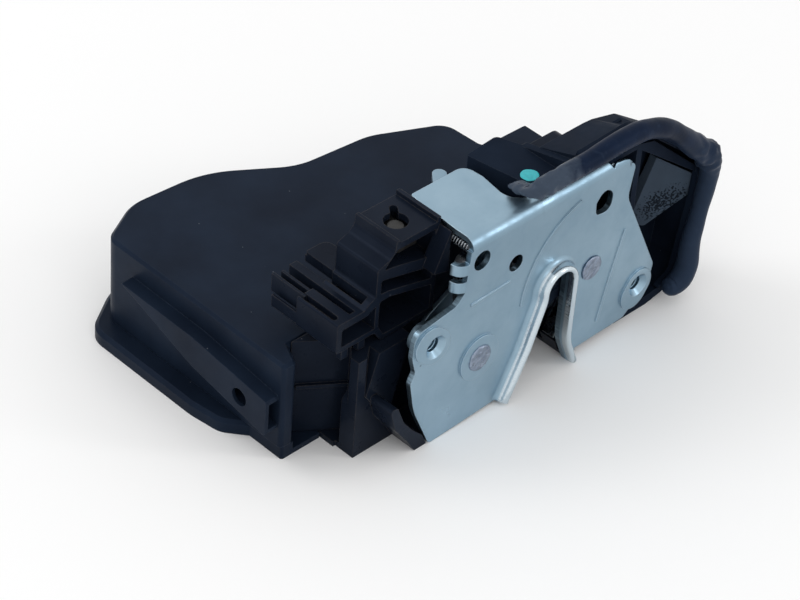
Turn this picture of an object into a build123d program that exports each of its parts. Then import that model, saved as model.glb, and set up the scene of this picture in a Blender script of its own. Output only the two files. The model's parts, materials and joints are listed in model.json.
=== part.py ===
from build123d import *
import math
import os

# Door latch with its lock actuator. All sizes are in millimetres.
# +X is the outward normal of the latch plate, +Y runs across the plate, +Z is up.
# X = 0 is the outer face of the plate, Y = 0 the middle of the striker throat, Z = 0 the flat bottom.

# Main sizes: how far the casing and the seal reach from the middle of the throat
CASE_LEFT = -93.0
CASE_RIGHT = 54.0
CASE_BACK = -115.4
CASE_FRONT = -24.0
CASE_TOP = 38.0
SEAL_RIGHT = 69.4
SEAL_TOP = 84.6

# Latch plate
PLATE_T = 2.0
PLATE_TOP = 70.0
BEND_R = 4.0
FLANGE_BACK = 29.0
FLANGE_LEFT = -39.5
THROAT_HALF = 5.9
THROAT_TOP = 43.5
COLLAR_H = 3.5
COLLAR_T = 1.5
PAD_H = 0.7
PAD_R = 8.3
RIB_H = 0.35
RIB_W = 1.2
RIB_R = 31.7

# Fixing holes, thread M6
FIX_LEFT = (-53.2, 40.4)
FIX_RIGHT = (42.6, 14.8)
FIX_CORE_R = 2.5
FIX_SINK_R = 4.25
BOSS_R = 5.0
BOSS_LEN = 5.0
LOCATE_BIG = (-35.2, 64.6)
LOCATE_BIG_R = 3.5
LOCATE_SMALL = (-19.4, 55.5)
LOCATE_SMALL_R = 3.0

# Claw and pawl
CLAW_AXIS = (17.6, 34.7)
PAWL_AXIS = (-32.6, 25.0)
CLAW_R = 28.0
CLAW_HUB_R = 11.0
CLAW_T = 5.0
CLAW_TURN = 60.0
JACKET_T = 0.7
MOUTH_HALF = 6.3
SEAT = (0.0, 37.0)
PAWL_T = 5.0
PAWL_TURN = 10.0
PAWL_HUB_R = 9.0
PAWL_ARM = 35.0
PAWL_END_R = 3.0
PIN_R = 3.5
RIVET_HEAD_R = 4.0
PAWL_HEAD_R = 4.75
RIVET_HEAD_H = 1.6
SHAFT_FIT = 0.05
FIT = 0.3
WIRE_R = 0.6
LAYER = 3.5

# Release lever under the top flange
LEVER_T = 2.0
LEVER_ARM = 16.0
LEVER_TIP = (-33.0, -21.5)
LEVER_TIP_W = 4.6
LEVER_PIN_R = 2.5
LEVER_TAB_R = 1.5
PAWL_SWING = 2 * PAWL_ARM * math.sin(math.radians(PAWL_TURN / 2))
LEVER_AXIS = (-22.0, PAWL_AXIS[0] - PAWL_SWING / 2 + PAWL_END_R + FIT + LEVER_TAB_R)

# Backing plate and latch housing
BACKING_X = -14.0
BACKING_T = 1.5
HOUSING_X = -31.0
BUMPER_HALF = 5.2
BUMPER_TOP = 49.5
HOUSING_FLOOR = 3.0
WALL = 2.5

# Actuator casing
CASE_WALL = 2.0
CASE_EDGE = 1.0
RIM_SIDE = 7.0
RIM_BACK = 2.4
BOSS_OUT = 5.0
BOSS_SKIN = 1.3
SIDE_HOLE_R = 3.2
BASE_H = 5.0
BASE_FLOOR = 2.0
CASE_GAP = 0.3

# Bracket tower
TOWER_FRONT = -14.0
TOWER_BACK = -32.0
TOWER_WEB = 2.0
TOWER_RIGHT = -40.0
BOX_TOP = 74.0
COMB_TOP = 54.4

# Lock drive inside the casing
MODULE = 1.0
WHEEL_TEETH = 30
WHEEL_T = 3.0
PINION_TEETH = 10
PINION_T = 5.0
SECTOR_TEETH = 40
WORM_R = 4.0
WORM_AXIS_X = CASE_BACK + 21.4
DRIVE_Z = 18.0
WHEEL_Y = CASE_LEFT + 53.0
AXLE_R = 2.0
MOTOR_R = 12.0
MOTOR_HALF_FLAT = 9.0
MOTOR_LEN = 30.0

# Seal housing and seal
SEAL_BACK = -18.0
SEAL_WALL = 2.5
SEAL_R = 4.2
SEAL_X = 3.5
SEAL_GAP = 0.2
RIM_FACE = SEAL_X - SEAL_R - SEAL_GAP

os.makedirs("parts", exist_ok=True)


def loop(points):
    """Closed face from (u, v, corner radius) points; a radius of 0 leaves the corner sharp."""
    flat = [(p[0], p[1]) for p in points]
    radii = [p[2] if len(p) > 2 else 0 for p in points]
    return make_face(FilletPolyline(*flat, radius=radii, close=True))


def along_x(face, x0, x1):
    """Prism from a face drawn in (Y, Z), between two X planes."""
    return extrude(Plane.YZ.offset(x0) * face, amount=x1 - x0)


def along_z(face, z0, z1):
    """Prism from a face drawn in (X, Y), between two Z planes."""
    return extrude(Plane.XY.offset(z0) * face, amount=z1 - z0)


def along_y(face, y0, y1):
    """Prism from a face drawn in (X, Z), between two Y planes."""
    return extrude(Plane.XZ.offset(-y0) * face, amount=-(y1 - y0))


def disc_x(centre, radius, x0, x1):
    """Round bar along X about a (Y, Z) centre."""
    return along_x(Pos(centre[0], centre[1]) * Circle(radius), x0, x1)


def disc_z(centre, radius, z0, z1):
    """Round bar along Z about an (X, Y) centre."""
    return along_z(Pos(centre[0], centre[1]) * Circle(radius), z0, z1)


def box(x0, x1, y0, y1, z0, z1):
    """Box between six planes."""
    return Pos((x0 + x1) / 2, (y0 + y1) / 2, (z0 + z1) / 2) * Box(x1 - x0, y1 - y0, z1 - z0)


def polar(centre, radius, angle):
    """Point at a radius and an angle in degrees about a centre."""
    a = math.radians(angle)
    return (centre[0] + radius * math.cos(a), centre[1] + radius * math.sin(a))


def bar(a, b, width):
    """Flat bar face with round ends from point a to point b."""
    mid = ((a[0] + b[0]) / 2, (a[1] + b[1]) / 2)
    length = math.hypot(b[0] - a[0], b[1] - a[1])
    turn = math.degrees(math.atan2(b[1] - a[1], b[0] - a[0]))
    return Pos(*mid) * Rot(0, 0, turn) * SlotCenterToCenter(length, width)


def sector_band(centre, r_in, r_out, a0, a1):
    """Ring segment between two radii and two angles."""
    arc_out = CenterArc(centre, r_out, a0, a1 - a0)
    arc_in = CenterArc(centre, r_in, a0, a1 - a0)
    side_0 = Line(arc_in @ 0, arc_out @ 0)
    side_1 = Line(arc_in @ 1, arc_out @ 1)
    return make_face(Curve() + [arc_out, arc_in, side_0, side_1])


def turned(solid, centre, angle):
    """Solid turned about the X-parallel axis through a (Y, Z) centre; positive is anticlockwise from +X."""
    axis = Axis((0, centre[0], centre[1]), (1, 0, 0))
    return solid.rotate(axis, angle)


def throat_face(grow=0.0):
    """Striker throat in (Y, Z): wide at the foot on the left, narrow with an arched top."""
    h = THROAT_HALF + grow
    return loop([
        (-22 - grow, -3),
        (-17.5 - grow, 6.3, 4),
        (-12.0 - grow, 18, 30),
        (-h, 35.5, 12),
        (-h, THROAT_TOP + grow, h - 0.1),
        (h, THROAT_TOP + grow, h - 0.1),
        (5.7 + grow, 12, 20),
        (12.1 + grow, -3),
    ])


def latch_plate():
    """Pressed plate: throat with drawn collar, thread bosses, embossed pads and arcs, bent top flange."""
    outline = loop([
        (-52.0, 0.0, 2),
        (-60.2, 18.0, 30),
        (-62.6, 30.0, 3),
        (-60.8, 33.6, 2),
        (-62.6, 40.0, 4),
        (-62.0, 49.0, 4),
        (-45.0, 51.6, 3),
        (-41.6, 55.0, 2),
        (-40.3, PLATE_TOP, 0),
        (33.7, PLATE_TOP, 3),
        (31.6, 56.0, 8),
        (49.8, 20.0, 4),
        (48.6, 12.8, 3),
        (37.5, 3.4, 3),
        (12.1, 2.7, 0),
        (12.1, -1.0, 0),
        (-21.0, -1.0, 0),
        (-21.0, 1.4, 0),
    ])
    plate = along_x(outline, -PLATE_T, 0)
    # round pads and raised arcs pressed outward
    plate += disc_x(PAWL_AXIS, PAD_R, 0, PAD_H)
    plate += along_x(bar(FIX_LEFT, (-55.6, 42.5), 2 * PAD_R - 4), 0, PAD_H)
    plate += along_x(bar(FIX_RIGHT, (41.0, 12.4), 2 * PAD_R - 4), 0, PAD_H)
    plate += along_x(sector_band(CLAW_AXIS, RIB_R, RIB_R + RIB_W, 106, 178), 0, RIB_H)
    for a, b in (((-37.9, 48.5), (-21.8, 49.2)), ((32.4, 42.4), (27.9, 26.2)), ((27.9, 26.2), (23.9, 9.5))):
        plate += along_x(bar(a, b, RIB_W), 0, RIB_H)
    # drawn collar round the throat, its legs ending just above the foot
    collar = along_x(throat_face(COLLAR_T), -PLATE_T, COLLAR_H)
    collar = collar & box(-PLATE_T, COLLAR_H, -30, 30, 2.0, 60)
    plate += collar
    plate -= along_x(throat_face(), -PLATE_T - 1, COLLAR_H + 1)
    plate -= box(-PLATE_T - 1, COLLAR_H + 1, -22, 13, -2, 0.8)
    # bent flange
    bend = Pos(-BEND_R, PLATE_TOP) * (Circle(BEND_R) - Circle(BEND_R - PLATE_T))
    bend = bend & Pos(-BEND_R / 2, PLATE_TOP + BEND_R / 2) * Rectangle(BEND_R, BEND_R)
    top = along_y(bend, FLANGE_LEFT, -8)
    top += box(-FLANGE_BACK, -BEND_R, FLANGE_LEFT, -8, PLATE_TOP + BEND_R - PLATE_T, PLATE_TOP + BEND_R)
    flange = loop([
        (0.5, FLANGE_LEFT, 0),
        (0.5, -8.2, 0),
        (-3.6, -9.0, 1),
        (-8.5, -16.6, 7),
        (-21.4, -14.4, 5),
        (-FLANGE_BACK, -15.0, 4),
        (-FLANGE_BACK, -38.2, 1),
        (-8, FLANGE_LEFT, 0),
    ])
    top = top & along_z(flange, PLATE_TOP - 1, PLATE_TOP + BEND_R + 1)
    plate += top
    # two tabs curled back on the left edge
    for z in (55.3, 61.8):
        curl = Pos(-BEND_R, -41.0) * (Circle(BEND_R) - Circle(BEND_R - PLATE_T))
        curl = curl & Pos(-BEND_R / 2, -41.0 - BEND_R / 2) * Rectangle(BEND_R, BEND_R)
        plate += along_z(curl, z, z + 4.0)
        plate += box(-PLATE_T, 0, -41.0, -40.0, z, z + 4.0)
    # holes
    plate -= disc_x(LOCATE_BIG, LOCATE_BIG_R, -5, 3)
    plate -= disc_x(LOCATE_SMALL, LOCATE_SMALL_R, -5, 3)
    torn = loop([(16.6, 56.0, 2), (23.4, 55.0, 3), (24.2, 62.0, 4), (19.5, 65.2, 3), (16.2, 61.0, 1)])
    plate -= along_x(torn, -5, 3)
    for centre in (FIX_LEFT, FIX_RIGHT):
        plate += disc_x(centre, BOSS_R, -PLATE_T - BOSS_LEN, -PLATE_T)
        plate -= disc_x(centre, FIX_CORE_R, -20, 5)
        depth = FIX_SINK_R - FIX_CORE_R
        sink = Pos(PAD_H - depth / 2, centre[0], centre[1]) * Rot(0, 90, 0)
        plate -= sink * Cone(FIX_CORE_R, FIX_SINK_R, depth)
    for centre in (CLAW_AXIS, PAWL_AXIS):
        plate -= disc_x(centre, PIN_R, -5, 3)
    return plate


def rivet(centre, head_r, pad):
    """Shouldered rivet: domed head on the plate, shank through the plate into the backing plate."""
    head = disc_x(centre, head_r, pad, pad + RIVET_HEAD_H)
    head = chamfer(head.faces().sort_by(Axis.X)[-1].edges(), RIVET_HEAD_H * 0.5)
    head += disc_x(centre, PIN_R, BACKING_X - BACKING_T - 0.8, pad)
    return head


def claw_profile(grow=0.0):
    """Claw outline in (Y, Z) in the latched position: horn above the mouth, hook below, round hub."""
    c = CLAW_AXIS
    r = CLAW_R + grow
    body = Pos(*c) * Circle(CLAW_HUB_R + grow)
    body += sector_band(c, 6, r, 122, 218)
    # ramp that lifts the pawl as the claw turns
    body += loop([polar(c, 6, 122), polar(c, r, 122.5), polar(c, 21 + grow, 108), polar(c, 8, 60)])
    body += loop([polar(c, 5, 200), polar(c, r, 217.5), polar(c, 20 + grow, 236), polar(c, 8, 290)])
    # mouth for the striker
    mouth = bar(SEAT, (SEAT[0] - 40, SEAT[1]), 2 * (MOUTH_HALF - grow))
    body -= mouth
    # face that the pawl blocks, square to the line from the pawl axis
    nose = pawl_nose()
    turn = math.degrees(math.atan2(nose[1] - PAWL_AXIS[1], nose[0] - PAWL_AXIS[0]))
    block = Pos(nose[0], nose[1]) * Rot(0, 0, turn) * Pos(-10 + grow + 0.01, 0) * Rectangle(20, 9)
    body -= block
    return body


def pawl_nose():
    """Point of the engaged pawl face, just inside the claw's outer circle."""
    return polar(CLAW_AXIS, CLAW_R - 1.7, 162.5)


def claw_core():
    """Steel claw, in the open position."""
    claw = along_x(claw_profile(), -LAYER - CLAW_T, -LAYER)
    claw -= disc_x(CLAW_AXIS, PIN_R + SHAFT_FIT, -20, 5)
    return turned(claw, CLAW_AXIS, CLAW_TURN)


def claw_jacket():
    """Moulded skin on both sides of the claw, which keeps it quiet; the pawl face stays bare steel."""
    thin = Pos(*CLAW_AXIS) * Circle(CLAW_R - 5) & claw_profile()
    front = along_x(thin, -LAYER, -LAYER + JACKET_T)
    back = along_x(thin, -LAYER - CLAW_T - JACKET_T, -LAYER - CLAW_T)
    jacket = Part() + [front, back]
    jacket -= disc_x(CLAW_AXIS, PIN_R + SHAFT_FIT + 0.5, -20, 5)
    return turned(jacket, CLAW_AXIS, CLAW_TURN)


def pawl():
    """Pawl, lifted off the claw: short nose towards the claw, long arm up to the release lever."""
    a = PAWL_AXIS
    nose = pawl_nose()
    reach = math.hypot(nose[0] - a[0], nose[1] - a[1]) - FIT
    turn = math.degrees(math.atan2(nose[1] - a[1], nose[0] - a[0]))
    body = Pos(*a) * Circle(PAWL_HUB_R)
    finger = Pos(*a) * Rot(0, 0, turn)
    body += finger * loop([
        (0, -PAWL_HUB_R + 1, 0),
        (reach - 6, -3.2, 3),
        (reach, -2.0, 1),
        (reach, 3.2, 0.8),
        (reach - 6, 4.2, 4),
        (0, PAWL_HUB_R - 1, 0),
    ])
    end = polar(a, PAWL_ARM, 90 - PAWL_TURN / 2)
    body += bar(a, end, 2 * PAWL_END_R)
    arm = along_x(body, -LAYER - PAWL_T, -LAYER)
    arm -= disc_x(a, PIN_R + SHAFT_FIT, -20, 5)
    return turned(arm, a, PAWL_TURN)


def torsion_spring(centre, radius, x0, turns, leg, start):
    """Torsion spring on a rivet: coil along X, with a straight leg at each end."""
    pitch = 2 * WIRE_R + 0.1
    height = pitch * turns
    coil = Helix(pitch=pitch, height=height, radius=radius)
    wire = RegularPolygon(WIRE_R * 1.2, 4)
    body = sweep(Plane(origin=coil @ 0, z_dir=coil % 0) * wire, path=coil, is_frenet=True)
    for end, way in ((0, -1), (1, 1)):
        at = Plane(origin=coil @ end, z_dir=(coil % end) * way)
        body += extrude(at.offset(-0.2) * Circle(WIRE_R * 0.85), amount=leg)
    body = Rot(0, 0, start) * body
    return Pos(x0, centre[0], centre[1]) * Rot(0, 90, 0) * Rot(0, 0, 90) * body


def claw_spring():
    """Spring that turns the claw open, round the claw rivet behind the claw."""
    return torsion_spring(CLAW_AXIS, PIN_R + WIRE_R + 0.35, BACKING_X + WIRE_R + 0.45, 1.5, 7.0, 200)


def pawl_spring():
    """Spring that presses the pawl onto the claw, round the pawl rivet behind the pawl."""
    return torsion_spring(PAWL_AXIS, PIN_R + WIRE_R + 0.35, BACKING_X + WIRE_R + 0.45, 1.5, 7.0, 320)


def lever():
    """Release lever, pulled: cranked flat lever with a narrow tip and a pin that holds the pawl's arm off."""
    z1 = PLATE_TOP + BEND_R - PLATE_T - FIT
    z0 = z1 - LEVER_T
    front = (LEVER_AXIS[0] + LEVER_ARM, LEVER_AXIS[1])
    face = Pos(*LEVER_AXIS) * Circle(5.5) + bar(LEVER_AXIS, front, 6.0) + bar(LEVER_AXIS, LEVER_TIP, LEVER_TIP_W)
    body = along_z(face, z0, z1)
    body += disc_z(front, LEVER_TAB_R, z0 - 13.5, z0)
    body -= disc_z(LEVER_AXIS, LEVER_PIN_R + SHAFT_FIT, z0 - 1, z1 + 1)
    return body


def lever_pin():
    """Pin of the release lever, standing in the boss of the latch housing."""
    z1 = PLATE_TOP + BEND_R - PLATE_T - 0.1
    return disc_z(LEVER_AXIS, LEVER_PIN_R, 60, z1)


def lever_spring():
    """Return spring of the release lever, close wound, along the left end of the bend; drawn as a sleeve."""
    centre = (FLANGE_LEFT + 2.4, PLATE_TOP - 1.6)
    front = -PLATE_T - FIT
    return disc_x(centre, 1.9, front - 10.5, front) - disc_x(centre, 1.2, front - 11.0, front + 1)


def backing_plate():
    """Inner steel plate that takes the rear ends of the two rivets."""
    face = loop([
        (-44, 14, 6),
        (-44, 36, 6),
        (-16, 52, 8),
        (26, 54, 10),
        (31, 40, 8),
        (31, 26, 8),
        (24, 10, 4),
        (10, 10, 2),
        (10, 46, 9.5),
        (-10, 46, 9.5),
        (-14, 14, 6),
    ])
    plate = along_x(face, BACKING_X - BACKING_T, BACKING_X)
    for centre in (CLAW_AXIS, PAWL_AXIS):
        plate -= disc_x(centre, PIN_R, -20, 0)
    return plate


def bumper():
    """Rubber bumper that stops the striker at the top of its pocket in the housing."""
    front = BACKING_X - BACKING_T - FIT
    face = loop([
        (-BUMPER_HALF, THROAT_TOP + 0.4, 1),
        (-BUMPER_HALF, BUMPER_TOP, 1),
        (BUMPER_HALF, BUMPER_TOP, 1),
        (BUMPER_HALF, THROAT_TOP + 0.4, 1),
    ])
    return along_x(face, front - 12.7, front - 0.5)


def latch_housing():
    """Plastic housing behind the plate: hollow at the back, pocket for the striker, lip at the lower left."""
    front = BACKING_X - BACKING_T - FIT
    top = CASE_TOP + 0.6
    outline = loop([
        (-66.0, 0, 0),
        (-66.0, top, 0),
        (-39.0, top, 0),
        (-39.0, 66.0, 3),
        (30.0, 66.0, 4),
        (35.0, 56.0, 4),
        (35.0, 0, 0),
    ])
    body = along_x(outline, HOUSING_X, front)
    # left end: a wall slanted across the corner of the casing, and the block beside the plate
    niche_back = (HOUSING_X, CASE_LEFT + 9.2)
    niche_front = (-20.5, -68.6)
    body += along_z(loop([niche_back, niche_front, (-14.0, -74.9), (-10.4, -74.9), (-10.4, -71.5),
                          (front, -65.0), (HOUSING_X, -65.0)]), 0, top)
    body += along_z(loop([(-30.0, -82.3), (-20.6, -68.7), (-19.5, -69.4), (-28.9, -83.0)]), 20.3, 21.7)
    body += along_z(loop([(-25.3, -75.9), (-18.3, -75.9), (-18.1, -74.9), (-14.0, -74.9), (-20.5, -68.6)]), 0, 2.0)
    block = loop([
        (-74.9, 0, 0),
        (-74.9, 20.0, 3),
        (-71.0, 24.6, 1),
        (-66.6, 22.4, 0),
        (-63.5, 14.8, 3),
        (-59.0, 9.0, 3),
        (-54.6, 4.6, 2),
        (-52.5, 0, 0),
    ])
    body += along_x(block, front - 1, -10.4)
    panel = loop([(-71.5, 23.5), (-66.8, top), (-53.1, top), (-54.2, 34.6), (-60.8, 11.3, 1), (-62.5, 11.0, 1)])
    body += along_x(panel, front - 1, -9.8)
    lip = loop([
        (-69.8, 23.0, 1),
        (-67.0, 13.5, 6),
        (-61.5, 6.0, 6),
        (-57.7, 0.0, 0),
        (-52.5, 0.0, 0),
        (-54.6, 4.6, 4),
        (-59.0, 9.0, 6),
        (-63.5, 14.8, 6),
        (-66.6, 22.4, 1),
    ])
    body += along_x(lip, -10.5, -0.5)
    # bottom wall under the plate, open at the throat
    body += box(front, -PLATE_T - 0.3, -54.5, 35, 0, 2.0)
    body += box(-10.5, -4.0, 6.2, 11, 0, 6.2)
    body -= along_x(throat_face(0.6), front - 13.0, 1)
    body -= box(front - 13.0, 1, -19, 6, -1, 8)
    body -= box(front - 13.0, front + 1, -BUMPER_HALF - FIT, BUMPER_HALF + FIT, 40, BUMPER_TOP + FIT)
    # hollow from behind
    inner = loop([
        (-63.5, WALL, 1),
        (-63.5, CASE_TOP - WALL, 2),
        (-39.0 + WALL, CASE_TOP - WALL, 2),
        (-39.0 + WALL, 66.0 - WALL, 2),
        (-24.5, 66.0 - WALL, 2),
        (-24.5, WALL, 2),
    ])
    right = loop([
        (13.5, WALL, 2),
        (13.5, 66.0 - WALL, 2),
        (28.0, 66.0 - WALL, 2),
        (35.0 - WALL, 55.0, 2),
        (35.0 - WALL, WALL, 2),
    ])
    body -= along_x(inner, HOUSING_X - 1, front - HOUSING_FLOOR)
    body -= along_x(right, HOUSING_X - 1, front - HOUSING_FLOOR)
    for centre in (CLAW_AXIS, PAWL_AXIS):
        body -= disc_x(centre, PIN_R + 1.5, front - 1.4, 0)
    # boss of the release lever
    seat = PLATE_TOP + BEND_R - PLATE_T - FIT - LEVER_T - 0.1
    body += disc_z(LEVER_AXIS, 5.0, 58, seat)
    body -= disc_z(LEVER_AXIS, LEVER_PIN_R, 60, seat + 1)
    return body


def bracket_tower():
    """Ribbed plastic bracket: keyhole box on top, cells open to the front, comb block, fins and shelf."""
    r = TOWER_RIGHT
    foot = CASE_TOP + 1.0
    # profile of the walls, seen from the front; the left side is an S: lip, hollow, ledge, straight wall
    outline = loop([
        (r, foot, 0),
        (r, BOX_TOP, 0),
        (-57.0, BOX_TOP, 0),
        (-57.2, BOX_TOP + 0.9, 0),
        (-58.4, BOX_TOP + 0.9, 0),
        (-58.8, 71.3, 2),
        (-61.0, 69.0, 3),
        (-65.8, 67.6, 1.2),
        (-65.8, 57.2, 1),
        (-68.0, 56.2, 1),
        (-70.6, COMB_TOP, 0),
        (-81.4, COMB_TOP, 0.8),
        (-81.4, 43.2, 0.8),
        (-65.6, 43.2, 1),
        (-62.6, foot, 1),
    ])
    body = along_x(outline, TOWER_BACK, TOWER_FRONT)
    cell_back = TOWER_BACK + TOWER_WEB
    cells = [
        [(r - 1.8, 71.5, 0), (r - 1.8, 61.4, 0), (-58.5, 65.6, 2), (-63.2, 66.3, 0.5), (-57.8, 71.5, 0)],
        [(r - 1.8, 57.2, 0.8), (r - 1.8, 52.6, 0.8), (-51.3, 55.0, 0), (-60.8, 57.3, 0), (-63.9, 57.5, 0.8),
         (-63.9, 62.8, 0.8)],
        [(r - 1.8, 50.0, 0.8), (r - 1.8, foot + 1.6, 0.8), (-61.6, foot + 1.8, 0), (-64.0, 45.0, 0),
         (-64.0, 54.6, 1), (-59.7, 54.6, 0)],
        [(-65.6, 53.6, 0), (-65.6, 45.0, 0), (-79.4, 45.0, 0.8), (-79.4, 51.6, 0.8), (-69.2, 51.8, 0)],
    ]
    for cell in cells:
        body -= along_x(loop(cell), cell_back, TOWER_FRONT + 1)
    # round hole in the top of the box with a slot to its back left
    key = Pos(-22.6, -50.6) * Circle(4.0) + bar((-22.6, -50.6), (-27.6, -46.8), 2.6)
    body -= along_z(key, 71.0, BOX_TOP + 1)
    # raised rim along the right edge of the box
    body += box(TOWER_BACK, TOWER_FRONT, r - 1.4, r, BOX_TOP - 0.2, BOX_TOP + 1.6)
    # web from the right wall towards the bend of the plate
    web = loop([(r - 0.2, 73.0), (r - 0.2, 57.5), (-46.4, 59.2)])
    body += along_x(web, -15.0, -9.0)
    # comb: channels along X between walls, a slot with a round end in the outer wall
    body -= box(TOWER_BACK - 1, TOWER_FRONT - 2.0, -74.8, -72.5, 46.0, 60)
    body -= box(TOWER_BACK - 1, TOWER_FRONT - 2.4, -69.5, -66.9, 47.0, 60)
    slot = bar((-36.0, -79.4), (-17.8, -79.4), 2.3)
    body -= along_z(slot, COMB_TOP - 2.4, COMB_TOP + 1)
    # fins that run back over the casing from the comb
    body += box(-45.0, TOWER_BACK + 1, -72.5, -69.5, 46.0, COMB_TOP)
    body += box(-44.5, TOWER_BACK + 1, -76.4, -75.4, 47.5, COMB_TOP - 0.3)
    body += box(-45.5, TOWER_BACK + 1, -79.3, -78.3, 47.5, COMB_TOP - 0.3)
    body += box(-43.0, TOWER_BACK + 1, -81.4, -80.6, 44.2, 48.5)
    # shelf that reaches back over the casing, its left edge turned down
    shelf = loop([(TOWER_BACK + 1, -66.0, 0), (-45.0, -66.0, 1), (-45.0, -57.0, 3), (TOWER_BACK + 1, -57.0, 0)])
    body += along_z(shelf, 54.6, 56.2)
    body += box(-45.0, TOWER_BACK + 1, -66.0, -64.9, 52.6, 55.0)
    # two clips that hang under the comb at the front
    for y in (-78.6, -71.6):
        body += box(TOWER_FRONT - 2.6, TOWER_FRONT - 0.6, y, y + 2.8, foot + 0.2, 44)
    return body


def grease_block():
    """Sliding block in the recess under the keyhole box, seen through the hole and from the front."""
    body = box(TOWER_BACK + TOWER_WEB, -17.2, -54.6, -46.6, 66.6, 70.4)
    body += disc_z((-22.6, -50.6), 2.6, 70.0, 72.2)
    return body


CASE_OUTLINE = [
    (CASE_FRONT, CASE_LEFT, 1.6),
    (CASE_BACK + 9.0, CASE_LEFT, 6),
    (CASE_BACK, CASE_LEFT + 17.0, 18),
    (CASE_BACK + 1.9, -47.0, 40),
    (CASE_BACK + 18.8, -21.0, 24),
    (CASE_BACK + 21.4, 8.5, 24),
    (CASE_BACK + 33.4, 33.8, 8),
    (-65.3, 34.6, 2),
    (-64.8, CASE_RIGHT, 1.5),
    (-33.0, CASE_RIGHT, 3),
    (HOUSING_X - CASE_GAP, CASE_LEFT + 8.4, 0),
    (CASE_FRONT, CASE_LEFT + 4.8, 1.6),
]


def case_face(inset=0.0):
    """Outline of the casing in (X, Y), moved inward by an inset."""
    face = loop(CASE_OUTLINE)
    if inset:
        face = offset(face, amount=-inset, kind=Kind.INTERSECTION)
    return face


def casing_cover():
    """Cover of the actuator casing: deep thin-walled box with a wedge-shaped boss on its side."""
    body = along_z(case_face(), BASE_H, CASE_TOP)
    body = chamfer(body.faces().sort_by(Axis.Z)[-1].edges(), CASE_EDGE)
    body -= along_z(case_face(CASE_WALL), BASE_H - 1, CASE_TOP - CASE_WALL)
    # wedge boss: hollow behind its skin, open at its front end, with a cross hole
    outer = CASE_LEFT - BOSS_OUT
    wedge = loop([(-94.0, 29.6), (-60.0, 29.2), (-26.0, 25.4, 1), (-26.0, 11.6, 1), (-60.0, 17.6)])
    boss = along_y(wedge, outer, CASE_LEFT + 0.5)
    boss -= along_y(loop([(-70.0, 27.0), (-25.0, 23.6), (-25.0, 13.4), (-60.0, 20.0)]), outer + BOSS_SKIN, CASE_LEFT)
    boss -= along_y(Pos(-38.1, 19.6) * Circle(SIDE_HOLE_R), outer - 1, outer + BOSS_SKIN)
    body += boss
    # posts that take the two screws from below
    for x, y in screw_places():
        body += disc_z((x, y), 3.2, BASE_FLOOR + 0.2, CASE_TOP - CASE_WALL + 0.2) - disc_z((x, y), 1.3, 0, 14)
    return body


def screw_places():
    """Centres of the two casing screws in (X, Y)."""
    return ((-44.0, CASE_LEFT + 8.0), (CASE_BACK + 42.0, 27.0))


def casing_base():
    """Base of the casing: floor with a wide rounded band that reaches out past the cover."""
    side = CASE_LEFT - RIM_SIDE
    back = CASE_BACK - RIM_BACK
    band = loop([
        (CASE_FRONT, CASE_LEFT + 0.7, 1),
        (-38.6, CASE_LEFT + 0.7, 0),
        (-46.0, side + 1.6, 8),
        (-58.0, side, 20),
        (back + 11.8, side, 9),
        (back, side + 18.0, 20),
        (back + 0.8, -47.0, 40),
        (back + 18.2, -20.0, 24),
        (back + 20.8, 9.0, 24),
        (back + 33.3, 36.8, 6),
        (-68.0, 37.6, 2),
        (-67.8, CASE_RIGHT + 3.0, 4),
        (-33.0, CASE_RIGHT + 3.0, 3),
        (HOUSING_X - CASE_GAP, CASE_LEFT + 8.4, 0),
        (HOUSING_X + 0.2, CASE_LEFT + 8.9, 0),
        (-25.4, -76.3, 0),
        (CASE_FRONT, -76.3, 0),
    ])
    body = along_z(band, 0, BASE_H)
    body = chamfer(body.faces().sort_by(Axis.Z)[-1].edges().filter_by(lambda e: (e @ 0.5).X < -33), 1.2)
    body -= along_z(case_face(CASE_WALL), BASE_FLOOR, BASE_H + 1)
    # low floor in front of the slanted wall of the latch housing
    niche = loop([(-22.0, CASE_LEFT + 4.4), (HOUSING_X - CASE_GAP, CASE_LEFT + 8.5), (-22.0, -70.0)])
    body -= along_z(niche, BASE_FLOOR, BASE_H + 1)
    # posts of the lock drive
    for centre in (wheel_centre(), sector_centre()):
        body += disc_z(centre, 4.0, BASE_FLOOR, DRIVE_Z - WHEEL_T / 2 - 0.4)
    # seats of the two screws
    for x, y in screw_places():
        body -= disc_z((x, y), 3.0, -1, 1.2)
        body -= disc_z((x, y), 1.3, -1, 4)
    return body


def wheel_centre():
    """Centre of the worm wheel in (X, Y)."""
    return (WORM_AXIS_X + WORM_R + MODULE * WHEEL_TEETH / 2, WHEEL_Y)


def sector_centre():
    """Centre of the lock lever in (X, Y)."""
    w = wheel_centre()
    return (w[0], w[1] + MODULE * (PINION_TEETH + SECTOR_TEETH) / 2)


def gear_face(teeth, module, tip=0.9, root=1.15, slim=0.12):
    """Gear outline with trapezoidal teeth of straight flanks."""
    r = module * teeth / 2
    step = 360.0 / teeth
    quarter = step / 4
    lean = quarter * 0.42
    slack = math.degrees(slim / r)
    points = []
    for i in range(teeth):
        mid = i * step
        points.append(polar((0, 0), r - root, mid - quarter - lean + slack))
        points.append(polar((0, 0), r + tip, mid - quarter + lean + slack))
        points.append(polar((0, 0), r + tip, mid + quarter - lean - slack))
        points.append(polar((0, 0), r - root, mid + quarter + lean - slack))
    return make_face(Polyline(*points, close=True))


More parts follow.
